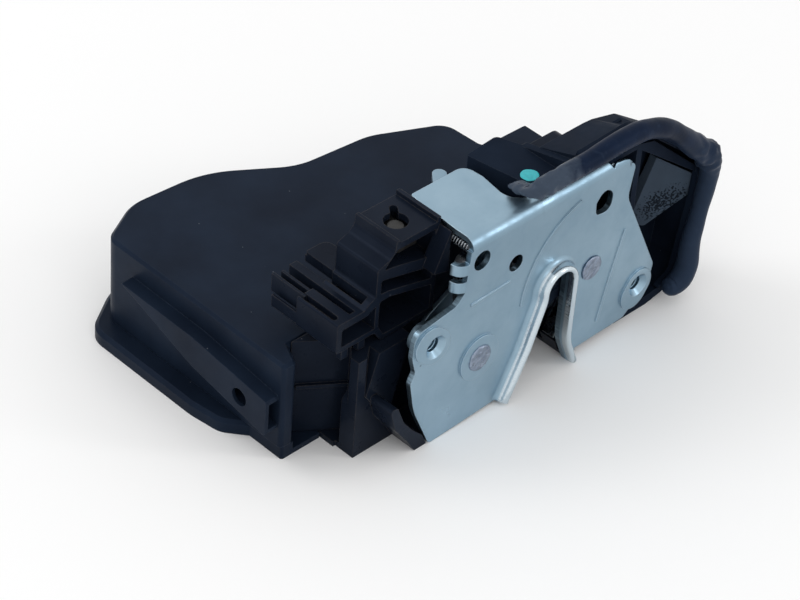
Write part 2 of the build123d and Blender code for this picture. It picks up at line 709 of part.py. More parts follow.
def worm_wheel():
    """Worm wheel with the small pinion moulded on top."""
    c = wheel_centre()
    z0 = DRIVE_Z - WHEEL_T / 2
    rim = Rot(0, 0, 180.0 / WHEEL_TEETH) * gear_face(WHEEL_TEETH, MODULE, slim=0.25)
    body = along_z(Pos(*c) * rim, z0, z0 + WHEEL_T)
    body += along_z(Pos(*c) * gear_face(PINION_TEETH, MODULE), z0 + WHEEL_T, z0 + WHEEL_T + PINION_T)
    body -= disc_z(c, AXLE_R + SHAFT_FIT, z0 - 1, z0 + WHEEL_T + PINION_T + 1)
    return body


def lock_lever():
    """Lock lever: toothed sector driven by the pinion, with an arm towards the latch."""
    c = sector_centre()
    z0 = DRIVE_Z + WHEEL_T / 2 + 0.4
    gear = Rot(0, 0, -90) * gear_face(SECTOR_TEETH, MODULE)
    wedge = loop([(0, 0, 0), (-17, -24, 0), (17, -24, 0)])
    face = gear & wedge
    face += Circle(6.5)
    face += bar((0, 0), (30, 8), 8)
    body = along_z(Pos(*c) * face, z0, z0 + PINION_T - 0.6)
    body -= disc_z(c, AXLE_R + SHAFT_FIT, z0 - 1, z0 + PINION_T + 1)
    return body


def worm():
    """Motor shaft with its worm, along Y."""
    pitch = math.pi * MODULE
    turns = 3
    core = WORM_R - 1.2
    tip = WORM_R + 0.8
    path = Helix(pitch=pitch, height=turns * pitch, radius=core)
    half_root = 0.36 * pitch
    half_tip = 0.13 * pitch
    tooth = Plane.XZ * make_face(
        Polyline((core - 0.4, -half_root), (tip, -half_tip), (tip, half_tip), (core - 0.4, half_root), close=True))
    body = sweep(tooth, path=path, is_frenet=True)
    body = Pos(0, 0, -turns * pitch / 2) * Rot(0, 0, 180) * body
    body += Cylinder(core, turns * pitch + 2.4)
    body += Pos(0, 0, -14) * Cylinder(1.0, 24)
    return Pos(WORM_AXIS_X, WHEEL_Y, DRIVE_Z) * Rot(-90, 0, 0) * body


def motor():
    """Motor can with flat sides, end cap and front bearing."""
    y1 = WHEEL_Y - MODULE * WHEEL_TEETH / 2 - 2.4
    can = Pos(WORM_AXIS_X, DRIVE_Z) * Circle(MOTOR_R)
    can = can & Pos(WORM_AXIS_X, DRIVE_Z) * Rectangle(2 * MOTOR_R, 2 * MOTOR_HALF_FLAT)
    body = along_y(can, y1 - MOTOR_LEN, y1)
    body += along_y(Pos(WORM_AXIS_X, DRIVE_Z) * Circle(3.0), y1, y1 + 1.5)
    body -= along_y(Pos(WORM_AXIS_X, DRIVE_Z) * Circle(1.0 + SHAFT_FIT), y1 - 20, y1 + 3)
    return body


def axles():
    """Steel axles of the wheel and of the lock lever."""
    z1 = CASE_TOP - CASE_WALL - 0.3
    out = Part()
    for c in (wheel_centre(), sector_centre()):
        out += disc_z(c, AXLE_R, DRIVE_Z - WHEEL_T / 2 - 0.4, z1)
    return out


def switches():
    """Two position switches beside the lock lever."""
    out = Part()
    for x in (-66.0, -56.0):
        case = box(x, x + 6.0, -60.0, -47.0, BASE_FLOOR, BASE_FLOOR + 8.0)
        knob = box(x + 2.0, x + 4.0, -52.0, -49.0, BASE_FLOOR + 8.0, BASE_FLOOR + 9.5)
        out += case + knob
    return out


def lead_frame():
    """Stamped brass strips on the floor of the base, from the motor to the plug pins."""
    out = Part()
    for i in range(3):
        y = -72.0 - 3.0 * i
        out += box(-80.0 + 4 * i, -38.0, y, y + 1.6, BASE_FLOOR, BASE_FLOOR + 0.8)
    return out


def seal_path():
    """Middle line of the seal in (Y, Z): along the top, round the right side and in at the foot."""
    r = SEAL_RIGHT
    return FilletPolyline(
        (-11.0, SEAL_TOP - 5.4),
        (3.0, SEAL_TOP - 2.0),
        (31.0, SEAL_TOP + 0.4),
        (r - 1.2, 57.6),
        (r + 0.2, 42.0),
        (r - 4.4, 20.0),
        (r - 3.6, 6.6),
        (r - 16.4, 7.4),
        radius=[20, 14, 9, 30, 20, 7.5],
    )


def foam_seal():
    """Soft foam tube along the rim of its housing, eight-sided in section."""
    path = Plane.YZ.offset(SEAL_X) * seal_path()
    section = Plane(origin=path @ 0, x_dir=(1, 0, 0), z_dir=path % 0) * Rot(0, 0, 22.5) * RegularPolygon(SEAL_R, 8)
    return sweep(section, path=path)


def seal_housing():
    """Wall behind the seal, open window to the front, roof over the plate, lug box and gusset."""
    r = SEAL_RIGHT
    top = SEAL_TOP - 2.4
    outline = loop([
        (7.0, 71.5, 0),
        (7.0, top, 0),
        (29.0, top + 0.6, 8),
        (42.0, 76.0, 8),
        (r + 3.1, 53.0, 6),
        (r + 2.0, 30.0, 20),
        (r + 0.6, 6.0, 6),
        (62.0, 2.0, 3),
        (52.0, 0.0, 0),
        (36.0, 0.0, 0),
        (36.0, 71.5, 0),
    ])
    inner = loop([
        (38.5, 2.5, 1),
        (38.5, 70.0, 0),
        (r + 0.6, 46.0, 1),
        (r - 0.4, 30.0, 20),
        (r - 2.4, 7.0, 5),
        (61.0, 4.5, 3),
    ])
    body = along_x(outline, SEAL_BACK, -PLATE_T - 0.3)
    body -= along_x(inner, SEAL_BACK + SEAL_WALL, 1)
    # recess between the arch of the window and the seal
    arch = loop([(35.0, 75.6), (41.8, 74.6, 4), (r + 0.4, 53.0, 2), (r + 0.4, 48.2), (44.2, 71.0, 4), (35.0, 73.6)])
    body -= along_x(arch, -9.0, 1)
    rim = loop([
        (7.0, 79.0, 0),
        (7.0, top + 1.6, 1),
        (31.0, top + 2.4, 9),
        (r + 3.4, 56.4, 6),
        (r + 3.0, 40.0, 30),
        (r + 0.6, 8.0, 5),
        (62.0, 2.4, 3),
        (54.5, 5.4, 1),
        (62.5, 8.5, 4),
        (r - 2.0, 38.0, 20),
        (r - 1.0, 52.5, 5),
        (36.0, 79.0, 6),
    ])
    body += along_x(rim, -PLATE_T - 1.4, RIM_FACE)
    body -= disc_x(FIX_RIGHT, BOSS_R + 0.5, -PLATE_T - BOSS_LEN - 0.6, 1)
    # lug box beside the top flange
    lug = along_z(loop([(-3, -7.4), (-31, -12.2, 1), (-32, 2.0, 2), (-24, 5.0, 1), (-3, 8.0)]), 68.0, 75.6)
    body += lug
    gusset = loop([(-24.0, 75.4), (-5.0, 75.4), (-5.0, 80.0)])
    body += along_y(gusset, 4.6, 7.4)
    return body


def window_fin():
    """Guide panel inside the window, standing slanted from the back wall to the right wall."""
    back = SEAL_BACK + SEAL_WALL
    right = SEAL_RIGHT - 0.4
    slab = along_z(loop([(back, 54.4), (back, 51.6), (back + 1.6, 51.6), (-3.8, right - 0.4), (-5.0, right)]), 20, 60)
    face = loop([(51.6, 27.6, 1), (56.3, 25.4, 1), (right + 1, 38.6), (right + 1, 44.6), (57.4, 53.4)])
    return slab & along_x(face, -16, 0)


def case_screws():
    """Two screws that hold the base to the cover, driven from below, heads sunk in the base."""
    out = Part()
    for place in screw_places():
        out += disc_z(place, 2.8, 0.3, 1.2) + disc_z(place, 1.3, 1.2, 10.0)
    return out


nodes = {
    "latch_plate": latch_plate(),
    "claw_rivet": rivet(CLAW_AXIS, RIVET_HEAD_R, 0),
    "pawl_rivet": rivet(PAWL_AXIS, PAWL_HEAD_R, PAD_H),
    "claw": claw_core(),
    "claw_jacket": claw_jacket(),
    "pawl": pawl(),
    "release_lever": lever(),
    "lever_pin": lever_pin(),
    "lever_spring": lever_spring(),
    "claw_spring": claw_spring(),
    "pawl_spring": pawl_spring(),
    "backing_plate": backing_plate(),
    "bumper": bumper(),
    "latch_housing": latch_housing(),
    "bracket_tower": bracket_tower(),
    "grease_block": grease_block(),
    "casing_cover": casing_cover(),
    "casing_base": casing_base(),
    "worm_wheel": worm_wheel(),
    "lock_lever": lock_lever(),
    "worm": worm(),
    "motor": motor(),
    "axles": axles(),
    "switches": switches(),
    "lead_frame": lead_frame(),
    "foam_seal": foam_seal(),
    "seal_housing": seal_housing(),
    "window_fin": window_fin(),
    "case_screws": case_screws(),
}

for name, shape in nodes.items():
    export_step(shape, f"parts/{name}.step")
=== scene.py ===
# %% [markdown]
# A door latch lies on a pale table: a pressed steel plate with its claw and pawl behind it, a big black
# casing with the lock motor inside, and a foam seal that keeps water out of the door. The solids come from
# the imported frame, with their sizes and places, and so do the places of joints and screw holes. This script
# gives each surface its finish and adds the soft and small forms that a mesh makes better than a solid does.
# Places are in millimetres on the frame's own axes: X out of the plate, Y along it, Z up, from the foot of the
# striker's throat.

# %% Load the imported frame
import json
import math
import bmesh
import bpy
from mathutils import Matrix, Vector, noise


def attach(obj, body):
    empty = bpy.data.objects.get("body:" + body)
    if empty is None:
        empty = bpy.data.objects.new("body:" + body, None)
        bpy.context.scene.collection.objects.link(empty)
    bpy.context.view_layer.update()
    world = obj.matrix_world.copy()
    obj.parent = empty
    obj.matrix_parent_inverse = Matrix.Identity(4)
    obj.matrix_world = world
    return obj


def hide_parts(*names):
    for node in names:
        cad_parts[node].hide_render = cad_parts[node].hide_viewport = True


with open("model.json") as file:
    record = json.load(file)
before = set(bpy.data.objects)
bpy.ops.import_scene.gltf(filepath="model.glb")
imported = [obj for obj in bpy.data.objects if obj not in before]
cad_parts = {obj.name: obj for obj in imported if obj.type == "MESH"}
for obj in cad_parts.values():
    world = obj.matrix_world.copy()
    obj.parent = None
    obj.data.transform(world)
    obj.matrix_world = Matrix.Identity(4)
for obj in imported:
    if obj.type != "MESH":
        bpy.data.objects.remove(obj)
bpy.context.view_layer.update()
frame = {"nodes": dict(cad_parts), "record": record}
part = frame["nodes"]
MM = 0.001


def in_millimetres(named_places):
    return {item["name"]: tuple(round(c / MM, 3) for c in item["pos_m"]) for item in named_places}


joint_at = in_millimetres(frame["record"]["behaviour"]["joints"])
mount_at = in_millimetres(frame["record"]["mounts"])


# %% [markdown]
# Colours are picked as sRGB hex values, as a paint chart gives them, and Blender's shaders want linear
# light. One function turns one into the other. A second one adds any shader node with its settings and
# links, so a material reads as a list of what feeds what. A third finds what feeds a socket already, for a
# later step that lays something over it.

# %% Colour and node helpers
def linear(hex_colour, alpha=1.0):
    channels = [int(hex_colour[i:i + 2], 16) / 255 for i in (1, 3, 5)]
    light = [c / 12.92 if c <= 0.04045 else ((c + 0.055) / 1.055) ** 2.4 for c in channels]
    return (*light, alpha)


def add(tree, kind, inputs=None, **settings):
    made = tree.nodes.new(kind)
    for name, value in settings.items():
        setattr(made, name, value)
    for key, value in (inputs or {}).items():
        if isinstance(value, bpy.types.NodeSocket):
            tree.links.new(value, made.inputs[key])
        else:
            made.inputs[key].default_value = value
    return made


def new_material(name):
    material = bpy.data.materials.new(name)
    material.use_nodes = True
    tree = material.node_tree
    shader = tree.nodes["Principled BSDF"]
    return material, tree, shader


def source_of(shader, socket):
    """The output that feeds a socket of the shader now."""
    return shader.inputs[socket].links[0].from_socket


def pattern_scale(size_mm):
    """Noise scale, in waves per metre, for a pattern whose grains are size_mm apart."""
    return 1 / (size_mm * MM)


print("helpers ready, black plastic reads", [round(c, 4) for c in linear("#20262f")[:3]])


# %% [markdown]
# Almost every finish here needs a patch of noise turned into two colours, and an edge that is lighter than
# the face because hands and boxes have rubbed it. The bevel shader gives a rounded normal near an edge.
# Where that normal leans away from the flat one, the surface is an edge, and the lean is used as a mask for
# the rub.

# %% Two-tone clouds and rubbed edges
def clouds(tree, place, size_mm, dark, light, low=0.35, high=0.7, detail=4.0):
    noise_node = add(tree, "ShaderNodeTexNoise", {"Vector": place, "Scale": pattern_scale(size_mm),
                                                  "Detail": detail})
    tone = add(tree, "ShaderNodeValToRGB", {"Fac": noise_node.outputs["Fac"]})
    tone.color_ramp.elements[0].position = low
    tone.color_ramp.elements[0].color = linear(dark)
    tone.color_ramp.elements[1].position = high
    tone.color_ramp.elements[1].color = linear(light)
    return tone.outputs["Color"], noise_node.outputs["Fac"]


def remap(tree, value, from_min, from_max, to_min, to_max):
    changed = add(tree, "ShaderNodeMapRange", {"Value": value, "From Min": from_min, "From Max": from_max,
                                               "To Min": to_min, "To Max": to_max})
    return changed.outputs["Result"]


def mixed_colour(tree, share, first, second):
    mix = add(tree, "ShaderNodeMix", data_type="RGBA")
    for socket, value in ((mix.inputs[0], share), (mix.inputs[6], first), (mix.inputs[7], second)):
        if isinstance(value, bpy.types.NodeSocket):
            tree.links.new(value, socket)
        else:
            socket.default_value = value
    return mix.outputs[2]


def edge_rub(tree, place, edge_mm, rub_mm=1.2):
    """Rounded normal, and a 0 to 1 mask that is broken up along the edge."""
    rounded = add(tree, "ShaderNodeBevel", {"Radius": edge_mm * MM}, samples=6).outputs["Normal"]
    flat = add(tree, "ShaderNodeNewGeometry").outputs["Normal"]
    lean = add(tree, "ShaderNodeVectorMath", {0: rounded, 1: flat}, operation="DOT_PRODUCT").outputs["Value"]
    worn = add(tree, "ShaderNodeTexNoise", {"Vector": place, "Scale": pattern_scale(rub_mm), "Detail": 4.0})
    patchy = remap(tree, worn.outputs["Fac"], 0.35, 0.65, 0.25, 1.0)
    mask = add(tree, "ShaderNodeMath", {0: remap(tree, lean, 0.99, 0.86, 0.0, 1.0), 1: patchy},
               operation="MULTIPLY").outputs["Value"]
    return rounded, mask


def height_stack(tree, normal, layers):
    """Bump nodes one on top of the other; each layer is a height, its strength and its depth in mm."""
    for height, strength, depth_mm in layers:
        bump = add(tree, "ShaderNodeBump", {"Height": height, "Strength": strength, "Distance": depth_mm * MM,
                                            "Normal": normal})
        normal = bump.outputs["Normal"]
    return normal


print("surface helpers ready")


# %% [markdown]
# The casing, the bracket and the housing are PBT, glass filled, injection moulded in a spark-eroded tool.
# The tool leaves a fine grain about 0.2 mm wide, too fine for this picture, so it is drawn at 0.5 mm. Glass
# fibres near the skin make slow, faint waves. The part has been handled, so its corners are rubbed grey, a
# few hair scratches catch the light, and specks of dust lie on top. The gears inside are white acetal,
# moulded alike.

# %% Moulded PBT
def moulded_plastic(name, dark, light, rub, roughness, grain_mm=0.5, edge_mm=0.35, shine=0.15):
    material, tree, shader = new_material(name)
    place = add(tree, "ShaderNodeTexCoord").outputs["Object"]
    tone, slow = clouds(tree, place, 22, dark, light)
    rounded, edge = edge_rub(tree, place, edge_mm)
    worn = mixed_colour(tree, remap(tree, edge, 0.0, 1.0, 0.0, 0.55), tone, linear(rub))
    specks = add(tree, "ShaderNodeTexVoronoi", {"Vector": place, "Scale": pattern_scale(7.0)})
    dust = remap(tree, specks.outputs["Distance"], 0.03, 0.015, 0.0, 0.5)
    tree.links.new(mixed_colour(tree, dust, worn, linear("#9aa0a6")), shader.inputs["Base Color"])
    fine = add(tree, "ShaderNodeTexNoise", {"Vector": place, "Scale": pattern_scale(5), "Detail": 6.0})
    gloss = remap(tree, fine.outputs["Fac"], 0.3, 0.7, roughness - 0.05, roughness + 0.06)
    tree.links.new(gloss, shader.inputs["Roughness"])
    grain = add(tree, "ShaderNodeTexNoise", {"Vector": place, "Scale": pattern_scale(grain_mm),
                                             "Detail": 2.0})
    streak = add(tree, "ShaderNodeMapping", {"Vector": place, "Rotation": (0.2, 0.3, 0.9),
                                             "Scale": (1.0, 0.03, 1.0)})
    hair = add(tree, "ShaderNodeTexNoise", {"Vector": streak.outputs["Vector"], "Scale": pattern_scale(0.9),
                                            "Detail": 1.0})
    lines = remap(tree, hair.outputs["Fac"], 0.72, 0.78, 0.0, 1.0)
    layers = [(slow, 0.25, 0.3), (lines, 0.5, 0.01), (grain.outputs["Fac"], 0.13, 0.05)]
    tree.links.new(height_stack(tree, rounded, layers), shader.inputs["Normal"])
    # filled PBT has an IOR near 1.55; the real skin is so matt at a flat angle that less is set here
    shader.inputs["IOR"].default_value = 1.32
    shader.inputs["Specular IOR Level"].default_value = shine
    shader.inputs["Specular Tint"].default_value = linear("#b4c8f0")
    return material


PBT_CASING = moulded_plastic("PBT glass filled, moulded, casing", "#131b28", "#1a2433", "#394452", 0.4)
PBT_BRACKET = moulded_plastic("PBT glass filled, moulded, bracket", "#111722", "#19202c", "#56504a", 0.3)
# the seal's housing comes from an etched tool, so its roof stays dark at a flat angle too
PBT_HOUSING = moulded_plastic("PBT glass filled, moulded, etched", "#131a26", "#1b2432", "#454b55", 0.5,
                              shine=0.03)
POM_WHITE = moulded_plastic("POM natural, moulded", "#c9c6b8", "#d8d5c8", "#e6e3d8", 0.4)
print("plastics:", PBT_CASING.name, PBT_BRACKET.name, PBT_HOUSING.name, POM_WHITE.name)


# %% [markdown]
# A blank punched from strip has a cut edge that is half smooth and half torn, so it is darker than the face
# and streaked across the sheet. The function finds it by its direction, sideways to the plate's normal, and
# by its depth, between the plate's face and its back, so that it leaves out the drawn rim, which stands
# proud of the face.

# %% Cut edge of the blank
SHEET_MM = 2.0


def cut_edge_of(tree, place, flat, dark, cut_colour):
    """The flat face's colour with the cut edge laid into it, and the height of the edge's tears."""
    facing = add(tree, "ShaderNodeSeparateXYZ", {0: add(tree, "ShaderNodeNewGeometry").outputs["Normal"]})
    sideways = add(tree, "ShaderNodeMath", {0: facing.outputs["X"]}, operation="ABSOLUTE").outputs["Value"]
    depth = add(tree, "ShaderNodeSeparateXYZ", {0: place}).outputs["X"]
    under_face = add(tree, "ShaderNodeMath", {0: remap(tree, sideways, 0.45, 0.2, 0.0, 1.0),
                                              1: remap(tree, depth, 0.1 * MM, 0.0, 0.0, 1.0)},
                     operation="MULTIPLY").outputs["Value"]
    above_back = remap(tree, depth, -(SHEET_MM + 0.1) * MM, -SHEET_MM * MM, 0.0, 1.0)
    cut = add(tree, "ShaderNodeMath", {0: under_face, 1: above_back}, operation="MULTIPLY").outputs["Value"]
    tears = add(tree, "ShaderNodeMapping", {"Vector": place, "Scale": (0.12, 1.0, 1.0)})
    tear = add(tree, "ShaderNodeTexNoise", {"Vector": tears.outputs["Vector"], "Scale": pattern_scale(0.5),
                                            "Detail": 4.0}).outputs["Fac"]
    torn = mixed_colour(tree, remap(tree, tear, 0.3, 0.75, 0.0, 1.0), linear(cut_colour), linear(dark))
    height = add(tree, "ShaderNodeMath", {0: cut, 1: tear}, operation="MULTIPLY").outputs["Value"]
    return mixed_colour(tree, cut, flat, torn), height


print("sheet of", SHEET_MM, "mm")


# %% [markdown]
# The latch plate is steel strip, blanked and drawn, then zinc plated and blue passivated in a barrel. That
# gives a cool grey whose gloss changes in soft clouds where parts rubbed together, short tumble scratches,
# and small dark pits. The rolled strip has a faint grain along it, about 0.1 mm apart, drawn at 0.5 mm.

# %% Zinc plated steel
def plated_steel(name, dark, light, rub, roughness, cloud_mm=14.0, edge_mm=0.35, pits=0.5, cut_edge=None):
    material, tree, shader = new_material(name)
    place = add(tree, "ShaderNodeTexCoord").outputs["Object"]
    tone, slow = clouds(tree, place, cloud_mm, dark, light, 0.3, 0.72, 3.0)
    rounded, edge = edge_rub(tree, place, edge_mm, 0.7)
    colour = mixed_colour(tree, remap(tree, edge, 0.0, 1.0, 0.0, 0.7), tone, linear(rub))
    spots = add(tree, "ShaderNodeTexVoronoi", {"Vector": place, "Scale": pattern_scale(6.5)})
    size = add(tree, "ShaderNodeTexNoise", {"Vector": place, "Scale": pattern_scale(11), "Detail": 0.0})
    limit = remap(tree, size.outputs["Fac"], 0.45, 0.75, 0.0, 0.075)
    gap = add(tree, "ShaderNodeMath", {0: limit, 1: spots.outputs["Distance"]}, operation="SUBTRACT")
    pit = remap(tree, gap.outputs["Value"], 0.0, 0.02, 0.0, pits)
    colour = mixed_colour(tree, pit, colour, linear("#3c444b"))
    smear = add(tree, "ShaderNodeTexNoise", {"Vector": place, "Scale": pattern_scale(5.0), "Detail": 5.0,
                                             "Distortion": 1.2})
    dull = remap(tree, smear.outputs["Fac"], 0.35, 0.68, -0.05, 0.06)
    base = remap(tree, slow, 0.3, 0.7, roughness + 0.05, roughness - 0.05)
    gloss = add(tree, "ShaderNodeMath", {0: base, 1: dull}, operation="ADD").outputs["Value"]
    strip = add(tree, "ShaderNodeMapping", {"Vector": place, "Scale": (1.0, 0.05, 1.0)})
    line = add(tree, "ShaderNodeTexNoise", {"Vector": strip.outputs["Vector"], "Scale": pattern_scale(0.5),
                                            "Detail": 3.0})
    tumble = add(tree, "ShaderNodeMapping", {"Vector": place, "Rotation": (0.7, 0.2, 0.0),
                                             "Scale": (1.0, 0.09, 1.0)})
    hair = add(tree, "ShaderNodeTexNoise", {"Vector": tumble.outputs["Vector"], "Scale": pattern_scale(1.1),
                                            "Detail": 2.0})
    scratch = remap(tree, hair.outputs["Fac"], 0.66, 0.74, 0.0, 1.0)
    layers = [(slow, 0.3, 0.25), (smear.outputs["Fac"], 0.25, 0.05), (line.outputs["Fac"], 0.08, 0.04),
              (scratch, 0.35, 0.015), (pit, -0.6, 0.05)]
    if cut_edge:
        colour, tears = cut_edge_of(tree, place, colour, dark, cut_edge)
        layers.append((tears, 0.4, 0.08))
    tree.links.new(colour, shader.inputs["Base Color"])
    tree.links.new(gloss, shader.inputs["Roughness"])
    tree.links.new(height_stack(tree, rounded, layers), shader.inputs["Normal"])
    shader.inputs["Metallic"].default_value = 1.0
    return material, tree, shader


ZINC, zinc_tree, zinc_shader = plated_steel("Steel strip, zinc plated, blue passivated", "#8da7b8", "#9ab3c3",
                                            "#c3d2dc", 0.36, cut_edge="#5b6a75")
BACK_ZINC = plated_steel("Steel strip, zinc plated, inner pieces", "#869fb0", "#94acbc", "#b5c6d1", 0.4)[0]
STEEL = plated_steel("Hardened steel, ground", "#83898f", "#9da3a9", "#c0c4c8", 0.28, cloud_mm=6.0)[0]
SPRING = plated_steel("Spring steel wire, drawn", "#7d8288", "#a1a6ab", "#c9ccd0", 0.22, cloud_mm=4.0,
                      pits=0.1)[0]
BRASS = plated_steel("Brass strip, stamped", "#a8833d", "#c59d52", "#dfc084", 0.25, cloud_mm=5.0, pits=0.2)[0]
print("steels:", ZINC.name, BACK_ZINC.name, STEEL.name, SPRING.name, BRASS.name)


# %% [markdown]
# The drawn collar of the throat is where the striker slides. The die and the striker have burnished it, so
# it is brighter and smoother than the flat plate, with fine draw lines along the pull. It stands more than
# a millimetre out of the plate, so the depth along X picks it out of the same mesh.

# %% Burnished collar of the throat
COLLAR_FROM, COLLAR_FULL = 0.9, 1.5
SHADE_TO_TOP_FROM, SHADE_TO_TOP_FULL = 34, 62
RIM_ROUND = 0.9
place = add(zinc_tree, "ShaderNodeTexCoord").outputs["Object"]
axes = add(zinc_tree, "ShaderNodeSeparateXYZ", {0: place}).outputs
out_of_plate = axes["X"]
collar = remap(zinc_tree, out_of_plate, COLLAR_FROM * MM, COLLAR_FULL * MM, 0.0, 1.0)
# painted shade: the plate is darkened towards the top of the blank, on its flat face only
painted_shade_to_top = remap(zinc_tree, axes["Z"], SHADE_TO_TOP_FROM * MM, SHADE_TO_TOP_FULL * MM, 0.0, 0.55)
flat_face = remap(zinc_tree, out_of_plate, -2.5 * MM, -0.5 * MM, 0.0, 1.0)
painted_shade_share = add(zinc_tree, "ShaderNodeMath", {0: painted_shade_to_top, 1: flat_face},
             operation="MULTIPLY").outputs["Value"]
shaded = mixed_colour(zinc_tree, painted_shade_share, source_of(zinc_shader, "Base Color"), linear("#70899a"))
polished = mixed_colour(zinc_tree, collar, shaded, linear("#cbd7de"))
zinc_tree.links.new(polished, zinc_shader.inputs["Base Color"])
smoother = add(zinc_tree, "ShaderNodeMix", {0: collar, 2: source_of(zinc_shader, "Roughness"), 3: 0.18},
               data_type="FLOAT").outputs[0]
zinc_tree.links.new(smoother, zinc_shader.inputs["Roughness"])
draw = add(zinc_tree, "ShaderNodeMapping", {"Vector": place, "Scale": (0.1, 1.0, 1.0)})
draw_line = add(zinc_tree, "ShaderNodeTexNoise", {"Vector": draw.outputs["Vector"],
                                                  "Scale": pattern_scale(0.8), "Detail": 2.0})
on_collar = add(zinc_tree, "ShaderNodeMath", {0: draw_line.outputs["Fac"], 1: collar}, operation="MULTIPLY")
# the drawn rim is rounder than the blanked edges, so its bevel is wider
wide = add(zinc_tree, "ShaderNodeBevel", {"Radius": RIM_ROUND * MM}, samples=8).outputs["Normal"]
rim = add(zinc_tree, "ShaderNodeMix", {0: collar, 4: source_of(zinc_shader, "Normal"), 5: wide},
          data_type="VECTOR").outputs[1]
ridged = height_stack(zinc_tree, rim, [(on_collar.outputs["Value"], 0.5, 0.15)])
zinc_tree.links.new(ridged, zinc_shader.inputs["Normal"])
print("burnished from", COLLAR_FROM, "mm out of the plate")


# %% [markdown]
# The rivets are closed by a spinning or a pressing tool after plating. The head keeps the marks of that
# blow: small facets about a millimetre across, and a slightly violet, bare tone where the zinc is gone.

# %% Peened rivet heads
PEENED, peen_tree, peen_shader = plated_steel("Steel rivet, peened", "#7b8698", "#96a1b2", "#c3c9d4", 0.34,
                                              cloud_mm=2.2, pits=0.9)
place = add(peen_tree, "ShaderNodeTexCoord").outputs["Object"]
blows = add(peen_tree, "ShaderNodeTexVoronoi", {"Vector": place, "Scale": pattern_scale(1.3)},
            feature="SMOOTH_F1")
crust = add(peen_tree, "ShaderNodeTexNoise", {"Vector": place, "Scale": pattern_scale(0.8), "Detail": 4.0})
hammered = height_stack(peen_tree, source_of(peen_shader, "Normal"),
                        [(blows.outputs["Distance"], 0.8, 0.6), (crust.outputs["Fac"], 0.7, 0.35)])
peen_tree.links.new(hammered, peen_shader.inputs["Normal"])
print("peened:", PEENED.name)


# %% [markdown]
# The seal is closed-cell EPDM foam with a moulded skin. The skin is dark grey with a blue tinge and a dull
# sheen, fine pores show as a soft orange-peel, and grey chalk marks show where it was bent and handled. The
# claw's bumper is nitrile rubber from a plain mould, blacker and duller, and the same function makes it.

# %% EPDM foam skin
def foam_skin(name, dark, light, chalk, roughness, pore_mm=0.8):
    material, tree, shader = new_material(name)
    place = add(tree, "ShaderNodeTexCoord").outputs["Object"]
    tone, slow = clouds(tree, place, 9, dark, light, 0.3, 0.75, 5.0)
    marks = add(tree, "ShaderNodeTexNoise", {"Vector": place, "Scale": pattern_scale(3.2), "Detail": 8.0,
                                             "Distortion": 0.8})
    chalky = remap(tree, marks.outputs["Fac"], 0.56, 0.74, 0.0, 0.4)
    tree.links.new(mixed_colour(tree, chalky, tone, linear(chalk)), shader.inputs["Base Color"])
    pores = add(tree, "ShaderNodeTexNoise", {"Vector": place, "Scale": pattern_scale(pore_mm), "Detail": 3.0})
    rounded = add(tree, "ShaderNodeBevel", {"Radius": 0.3 * MM}, samples=4).outputs["Normal"]
    normal = height_stack(tree, rounded, [(slow, 0.3, 0.5), (pores.outputs["Fac"], 0.3, 0.1)])
    tree.links.new(normal, shader.inputs["Normal"])
    gloss = remap(tree, marks.outputs["Fac"], 0.3, 0.7, roughness - 0.06, roughness + 0.1)
    tree.links.new(gloss, shader.inputs["Roughness"])
    # EPDM has an IOR near 1.5; its matt skin shines less than that at a flat angle
    shader.inputs["IOR"].default_value = 1.36
    shader.inputs["Specular IOR Level"].default_value = 0.12
    shader.inputs["Specular Tint"].default_value = linear("#b4c8f0")
    return material, tree, shader


FOAM, foam_tree, foam_shader = foam_skin("EPDM foam, moulded skin", "#0e1727", "#152136", "#2a3648", 0.4)
RUBBER = foam_skin("NBR rubber, moulded", "#121212", "#1c1c1c", "#2c2c2c", 0.6)[0]
print("rubbers:", FOAM.name, RUBBER.name)


# %% [markdown]
# The left end of the seal is welded to the lug with a hot tool and adhesive. The skin has melted there: it
# is smooth and glossy, and its colour is lightened as a painted highlight. A gradient along Y, from the tip to
# the free tube, blends that in.
# Another one, along Z, makes the side run lighter than the top: painted light.

# %% Melted end of the seal
MELT_AND_HIGHLIGHT_FROM, MELT_AND_HIGHLIGHT_FULL = 3.0, -5.0
MELT_AND_HIGHLIGHT_JITTER = 4
SIDE_LIGHT_FROM, SIDE_LIGHT_FULL = 76.0, 52.0
place = add(foam_tree, "ShaderNodeTexCoord").outputs["Object"]
axes = add(foam_tree, "ShaderNodeSeparateXYZ", {0: place}).outputs
edge_noise = add(foam_tree, "ShaderNodeTexNoise", {"Vector": place, "Scale": pattern_scale(4.0),
                                                   "Detail": 2.0})
jitter = remap(foam_tree, edge_noise.outputs["Fac"], 0.3, 0.7, -MELT_AND_HIGHLIGHT_JITTER * MM, MELT_AND_HIGHLIGHT_JITTER * MM)
where = add(foam_tree, "ShaderNodeMath", {0: axes["Y"], 1: jitter}, operation="ADD").outputs["Value"]
melt_gloss_and_highlight = remap(foam_tree, where, MELT_AND_HIGHLIGHT_FROM * MM, MELT_AND_HIGHLIGHT_FULL * MM, 0.0, 1.0)
# painted light: the seal's side run is lightened downwards along Z
painted_side_light = remap(foam_tree, axes["Z"], SIDE_LIGHT_FROM * MM, SIDE_LIGHT_FULL * MM, 0.0, 0.55)
side_lit_skin = mixed_colour(foam_tree, painted_side_light, source_of(foam_shader, "Base Color"), linear("#313d4e"))
